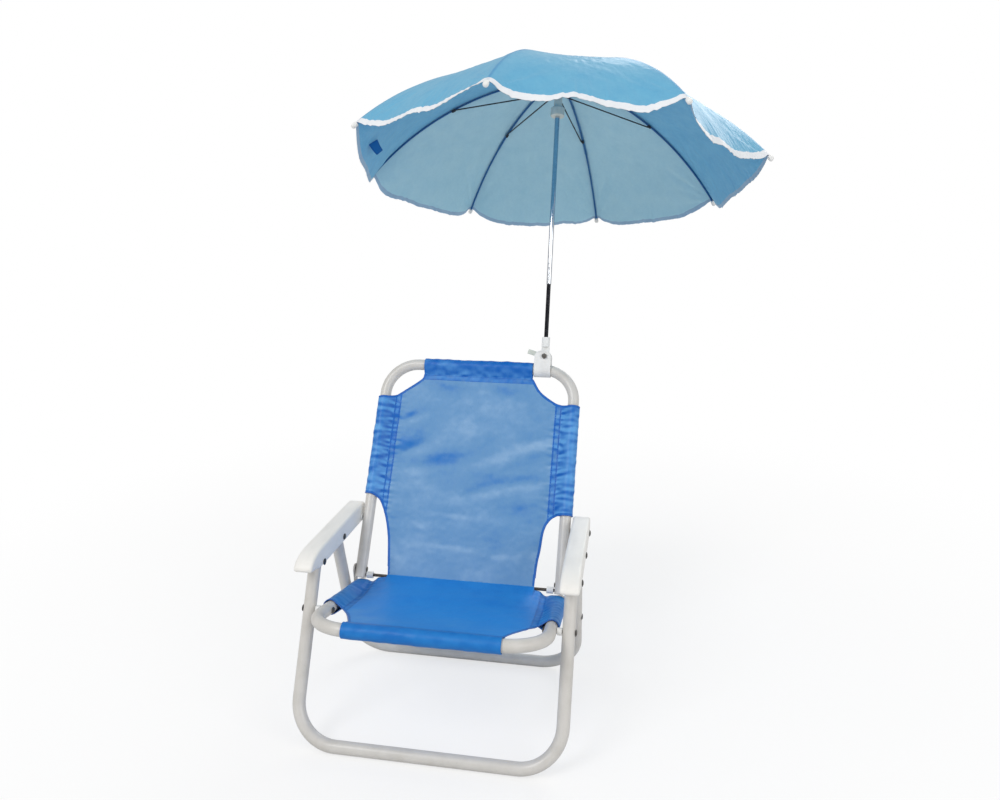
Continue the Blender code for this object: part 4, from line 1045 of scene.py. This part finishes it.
def turned(name, profile, matrix, material, sides=20):
    """A turned piece about the matrix's Z from (radius, height) pairs."""
    points, faces = [], []
    for radius, height in profile:
        for k in range(sides):
            a = 2 * math.pi * k / sides
            points.append(matrix @ Vector((radius * math.cos(a), radius * math.sin(a), height)))
    for j in range(len(profile) - 1):
        for k in range(sides):
            first, second = j * sides + k, j * sides + (k + 1) % sides
            faces.append((first, second, second + sides, first + sides))
    faces.append(tuple(range(sides))[::-1])
    faces.append(tuple(range((len(profile) - 1) * sides, len(profile) * sides)))
    return new_mesh(name, points, faces, material)


def looking(point, way):
    return Matrix.Translation(point) @ way.to_track_quat("Z", "Y").to_matrix().to_4x4()


for k in range(8):
    matrix, body = rib_frame(k), f"rib_{k + 1}_body"
    radii = np.linspace(0.0085, RADIUS - 0.004, 40)
    line = [matrix @ Vector((float(r), 0, dome(float(r)) - RIB_UNDER)) for r in radii]
    rib = pipe(f"rib_{k + 1}_wire", line, 0.0016, rib_steel, 3)
    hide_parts(f"rib_{k + 1}")
    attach(rib, body)
    way = (line[-1] - line[-2]).normalized()
    cap = turned(f"tip_cap_{k + 1}", [(0.0020, -0.005), (0.0038, -0.004), (0.0042, 0.0),
                                      (0.0042, 0.003), (0.0030, 0.0050), (0.0010, 0.0058)],
                 looking(line[-1], way), fitting_plastic, 16)
    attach(cap, body)
    joint = matrix @ Vector((CLIP_AT, 0, dome(CLIP_AT) - RIB_UNDER - 0.0012))
    clip = turned(f"rib_clip_{k + 1}", [(0.0018, -0.004), (0.0026, -0.003), (0.0026, 0.003),
                                        (0.0018, 0.004)], looking(joint, line[20] - line[19]),
                  wire_steel, 12)
    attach(clip, body)
    dress(f"stretcher_{k + 1}", wire_steel, 0)

# %% [markdown]
# ## The canopy
#
# Eight gores of pale nylon are sewn together along the ribs into one curved sheet. Between the
# ribs the cloth is pulled nearly straight across, and its lower edge hangs loose, wavy, and
# climbs back to each tip, where the pull of the tip makes fine creases. A white tape binds the
# edge. The sheet is drawn in eight pieces, each centred on a rib, so that the cloth can go with
# its rib when the umbrella closes. The pieces share their borders and their shading.

# %% The shape of the gores
EDGE_DROPS = [
    [0, 17, 21, 18, 11, 13, 18, 24, 27, 14, 0], [0, 26, 31, 35, 33, 31, 35, 28, 20, 12, 0],
    [0, 16, 24, 22, 27, 27, 27, 29, 32, 18, 0], [0, 12, 23, 26, 27, 27, 26, 25, 23, 14, 0],
    [0, 14, 17, 20, 26, 29, 29, 30, 28, 20, 0], [0, 21, 26, 28, 30, 31, 31, 31, 32, 30, 0],
    [0, 20, 30, 34, 34, 35, 37, 40, 40, 30, 0], [0, 11, 17, 16, 12, 11, 15, 13, 6, 2, 0],
]
HOLE, EDGE = 0.006, 0.3625
HALF_GORE = STEP / 2
# A gore's half-width, as a share of its distance from the pole
GORE_SHARE = 0.39


def smooth_drop(gore, place):
    """How far the edge hangs below the dome, in metres, with its bends rounded."""
    drops = [0, *EDGE_DROPS[gore], 0]
    spots = np.linspace(-0.1, 1.1, len(drops))
    shifts = (-0.05, -0.025, 0, 0.025, 0.05)
    total = sum(np.interp(place + shift, spots, drops) for shift in shifts)
    return total / len(shifts) / 1000 * eased(place * (1 - place) * 16)


def gore_point(share, gore, across):
    """Cloth between rib gore and the next one: across runs from -1 to 1."""
    radius = HOLE + (EDGE - HOLE) * share
    turn = np.arctan(across * math.tan(HALF_GORE))
    reach = radius * math.cos(HALF_GORE) / np.cos(turn)
    place = (across + 1) / 2
    free = np.maximum(0, 1 - across ** 2)
    low = np.maximum(0, (share - 0.70) / 0.30)
    hang = smooth_drop(gore, place) * low ** 2.2
    waves = 0.0030 * rough(across * 3.2, share * 0.8 + gore * 9, 21) * free * low
    waves += 0.0012 * rough(across * 9, share * 6 + gore * 9, 22) * free * low
    height = waves - hang - 0.0035 * free * np.sin(math.pi * np.minimum(share, 1))
    for side in (-1, 1):
        off = np.maximum(0, 1 - across * side) * radius * GORE_SHARE
        down = (1 - share) * EDGE
        from_tip, bearing = np.hypot(off, down), np.arctan2(down, off)
        crease = rough(bearing * 5.5, from_tip * 9 + gore * 7 + side, 23)
        height += 0.0052 * crease * np.exp(-from_tip / 0.080) * eased(off / 0.024)
        gather = rough(share * 95, off * 24 + gore * 5 + side, 24)
        height += 0.0013 * gather * np.exp(-off / 0.016) * eased(off / 0.006)
    height += 0.0008 * rough(across * 14 * (0.3 + share), share * 26 + gore * 11, 25) * free
    hem_pull = rough(across * 22 + gore * 13, share * 9, 26) * np.exp((share - 1) / 0.09)
    height += 0.0022 * hem_pull * eased(free * 4)
    angle = FIRST + STEP * gore + HALF_GORE + turn
    inwards = reach * (1 - 0.012 * low * free)
    sphere = TIPS_AT + RISE - DOME + np.sqrt(np.maximum(0, DOME ** 2 - radius ** 2))
    flat = np.stack([inwards * np.cos(angle), inwards * np.sin(angle), sphere + height], axis=-1)
    return flat @ np.array(MAST.to_3x3()).T + np.array(MAST.translation)


def piece_point(rib, share, t):
    """Cloth of the piece on a rib: t runs from -1, the middle of one gore, to 1, of the next."""
    before = gore_point(share, (rib - 1) % 8, 1 + t)
    after = gore_point(share, rib, t - 1)
    return np.where((t < 0)[..., None], before, after)


def piece_normal(rib, share, t, reach=0.012):
    """The way the sheet faces there, measured across the piece's borders."""
    over = piece_point(rib, share, t + reach) - piece_point(rib, share, t - reach)
    out = piece_point(rib, share + reach, t) - piece_point(rib, share - reach * 0.5, t)
    normal = np.cross(out, over)
    return normal / np.maximum(1e-9, np.linalg.norm(normal, axis=-1, keepdims=True))


print("edge radius", EDGE, "gores", len(EDGE_DROPS))

# %% [markdown]
# Each piece is two skins half a millimetre apart: the outer one pale blue with the white tape,
# the inner one painted paler, because light comes through it. The gores at the sides get more
# light through them, painted bluer on their inside. Every piece carries the cloth's flat
# coordinates.

# %% The canopy's pieces
SHARES = np.array([*np.linspace(0, 0.66, 34), *np.linspace(0.675, 0.972, 42), 0.979, 0.989, 1.0])
HALF_STEPS, SKIN = 36, 0.00025
SIDE_GORES = (0, 1, 2, 6, 7)
share, t = np.meshgrid(SHARES, np.linspace(-1, 1, 2 * HALF_STEPS + 1), indexing="ij")
rows, columns = share.shape
corner = (np.arange(rows - 1)[:, None] * columns + np.arange(columns - 1)).ravel()
quads = np.column_stack([corner, corner + columns, corner + columns + 1, corner + 1])
skin_size = rows * columns


def border(path):
    """The narrow faces that join the two skins along a border."""
    first, second = path[:-1], path[1:]
    return np.column_stack([first, first + skin_size, second + skin_size, second])


def gather_on_rib(made, rib):
    """Cloth that goes with its rib."""
    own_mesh(made)
    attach(made, f"rib_{rib + 1}_body")


edge_row = (rows - 1) * columns + np.arange(columns)
rim = np.concatenate([border(edge_row), border(np.arange(columns)[::-1]),
                      border(np.arange(rows) * columns),
                      border((np.arange(rows) * columns + columns - 1)[::-1])])
flat_areas = []
for k in range(8):
    middle, normal = piece_point(k, share, t), piece_normal(k, share, t)
    if (normal.reshape(-1, 3) @ np.array(MAST.to_3x3() @ Vector((0, 0, 1)))).mean() < 0:
        normal = -normal
    outer, inner = middle + normal * SKIN, middle - normal * SKIN
    points = np.concatenate([outer.reshape(-1, 3), inner.reshape(-1, 3)])
    faces = np.concatenate([quads, quads[:, ::-1] + skin_size, rim]).tolist()
    made = new_mesh(f"canopy_{k + 1}", points, faces,
                    [canopy_outer, binding, canopy_inner_backlit, inner_binding, canopy_side_backlit], None)
    radius = HOLE + (EDGE - HOLE) * share
    seam = np.abs(t) * radius * GORE_SHARE
    layer = np.where(seam < 0.0026, 0.9, 0.30 * np.exp(-seam / 0.010)).ravel()
    flats = np.column_stack([(t * radius * GORE_SHARE + k).ravel(), radius.ravel()])
    carry(made, np.concatenate([flats, flats]), np.concatenate([layer, layer]))
    in_tape = quads[:, 0] // columns >= rows - 3
    in_edge = quads[:, 0] // columns >= rows - 2
    gore = np.where(quads[:, 0] % columns < HALF_STEPS, (k - 1) % 8, k)
    # Inside, the side gores are painted bluer and the others paler, for light through the cloth.
    inside = np.where(np.isin(gore, SIDE_GORES), 4, 2)
    kinds = np.concatenate([in_tape.astype(int), np.where(in_edge, 3, inside),
                            np.arange(len(rim)) < columns - 1])
    made.data.polygons.foreach_set("material_index", kinds)
    facing_ways = np.concatenate([normal.reshape(-1, 3), -normal.reshape(-1, 3)])
    made.data.normals_split_custom_set_from_vertices(facing_ways.tolist())
    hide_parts("canopy")
    across, down = middle[:-1, 1:] - middle[:-1, :-1], middle[1:, :-1] - middle[:-1, :-1]
    area = float(np.linalg.norm(np.cross(across, down), axis=-1).sum())
    gather_on_rib(made, k)
    flat_areas.append(area)
print("canopy cloth", round(sum(flat_areas), 3), "square metres")

# %% [markdown]
# A short strap of doubled royal-blue nylon is sewn inside the left gore by its upper end, and
# hangs free below it. It ties the closed umbrella.

# %% The tie strap
top_edge = gore_point(np.array([0.960, 0.925]), 6, np.array([0.575, 0.425]))
falls = np.array([(0.0135, 0.0, -0.0168), (0.0092, 0.0, -0.0180)])
ACROSS, DOWN = 7, 12
over = np.linspace(0, 1, ACROSS)[:, None]
down = np.linspace(0, 1, DOWN)[:, None, None]
curl = np.sin(math.pi * down) * np.array((0.0, -0.0015, -0.0008))
below = np.array(MAST.to_3x3() @ Vector((0, 0, -1)))
strap_points = top_edge[0] + (top_edge[1] - top_edge[0]) * over + below * 0.0012
strap_points = strap_points + (falls[0] + (falls[1] - falls[0]) * over) * down + curl
corners = [(j * ACROSS + i, (j + 1) * ACROSS + i)
           for j in range(DOWN - 1) for i in range(ACROSS - 1)]
faces = [(low, low + 1, high + 1, high) for low, high in corners]
strap = new_mesh("tie_strap", strap_points.reshape(-1, 3), faces, strap_nylon, None)
places = [(i, j) for j in range(DOWN) for i in range(ACROSS)]
carry(strap, [(0.004 * i, 0.003 * j) for i, j in places],
      [1.0 if i in (0, ACROSS - 1) or j in (0, DOWN - 1) else 0.2 for i, j in places])
modifier(strap, "SOLIDIFY", thickness=0.0008, offset=0)
modifier(strap, "SUBSURF", levels=1, render_levels=1)
strap = applied(strap)
gather_on_rib(strap, 7)

# %% [markdown]
# ## Studio
#
# The product shot has a pure white surround and soft light from all around, a little stronger
# from the upper left. The floor is a pale sheet that keeps only a faint shadow. It sends a little
# less light back up than the camera sees in it, so the undersides of the tubes stay grey.


# %% Floor, lights and camera
def area_light(name, place, aim, size, power):
    data = bpy.data.lights.new(name, "AREA")
    data.shape, data.size, data.energy = "DISK", size, power
    made = bpy.data.objects.new(name, data)
    bpy.context.scene.collection.objects.link(made)
    made.matrix_world = looking(Vector(place), Vector(place) - Vector(aim))
    return made


floor_surface = Surface("floor")
shade = floor_surface.place.noise(3, 2)
pale = shade.between((0.90, 0.90, 0.90), (0.93, 0.93, 0.93))
seen = floor_surface.start.node("LightPath")
floor_surface.set(Base_Color=seen.between((0.70, 0.70, 0.70), pale), Roughness=0.9)
away = floor_surface.start.node("NewGeometry").math_length().ramp(0.35, 1.5)
floor_surface.fade((away * 0.35 + 0.65) * seen, (1.0, 1.0, 1.0))
reach = 6
floor = new_mesh("floor", [(-reach, -reach, -0.0005), (reach, -reach, -0.0005),
                           (reach, reach, -0.0005), (-reach, reach, -0.0005)],
                 [(0, 1, 2, 3)], floor_surface, None)
target = (0, 0, 0.45)
area_light("key", (-1.8, -2.4, 2.8), target, 1.6, 46)
area_light("fill", (2.4, -1.8, 1.6), target, 2.0, 22)
area_light("back", (0.8, 2.6, 2.2), target, 1.8, 26)
world = bpy.data.worlds.new("studio")
bpy.context.scene.world = world
world.use_nodes = True
tree = world.node_tree
room = tree.nodes["Background"]
room.inputs["Color"].default_value = (1, 1, 1, 1)
room.inputs["Strength"].default_value = 0.62
white = tree.nodes.new("ShaderNodeBackground")
white.inputs["Color"].default_value = (1, 1, 1, 1)
white.inputs["Strength"].default_value = 1.0
paths = tree.nodes.new("ShaderNodeLightPath")
mix = tree.nodes.new("ShaderNodeMixShader")
tree.links.new(paths.outputs["Is Camera Ray"], mix.inputs[0])
tree.links.new(room.outputs[0], mix.inputs[1])
tree.links.new(white.outputs[0], mix.inputs[2])
tree.links.new(mix.outputs[0], tree.nodes["World Output"].inputs[0])

yaw, pitch, roll = -0.1599, -0.2445, 0.0092
forward = Vector((math.sin(yaw) * math.cos(pitch), math.cos(yaw) * math.cos(pitch),
                  math.sin(pitch)))
flat_right = Vector((math.cos(yaw), -math.sin(yaw), 0))
flat_up = flat_right.cross(forward)
right = flat_right * math.cos(roll) + flat_up * math.sin(roll)
upward = flat_up * math.cos(roll) - flat_right * math.sin(roll)
camera_data = bpy.data.cameras.new("camera")
camera_data.sensor_width, camera_data.lens = 36, 28.67
camera_data.shift_x, camera_data.shift_y = -0.0070, -0.0031
camera = bpy.data.objects.new("camera", camera_data)
bpy.context.scene.collection.objects.link(camera)
turn = Matrix((right, upward, -forward)).transposed().to_4x4()
camera.matrix_world = Matrix.Translation(at(0.2675, -0.9446, 0.7829)) @ turn
bpy.context.scene.camera = camera
bpy.context.scene.view_settings.view_transform = "Standard"
print("camera", [round(v, 3) for v in camera.location])
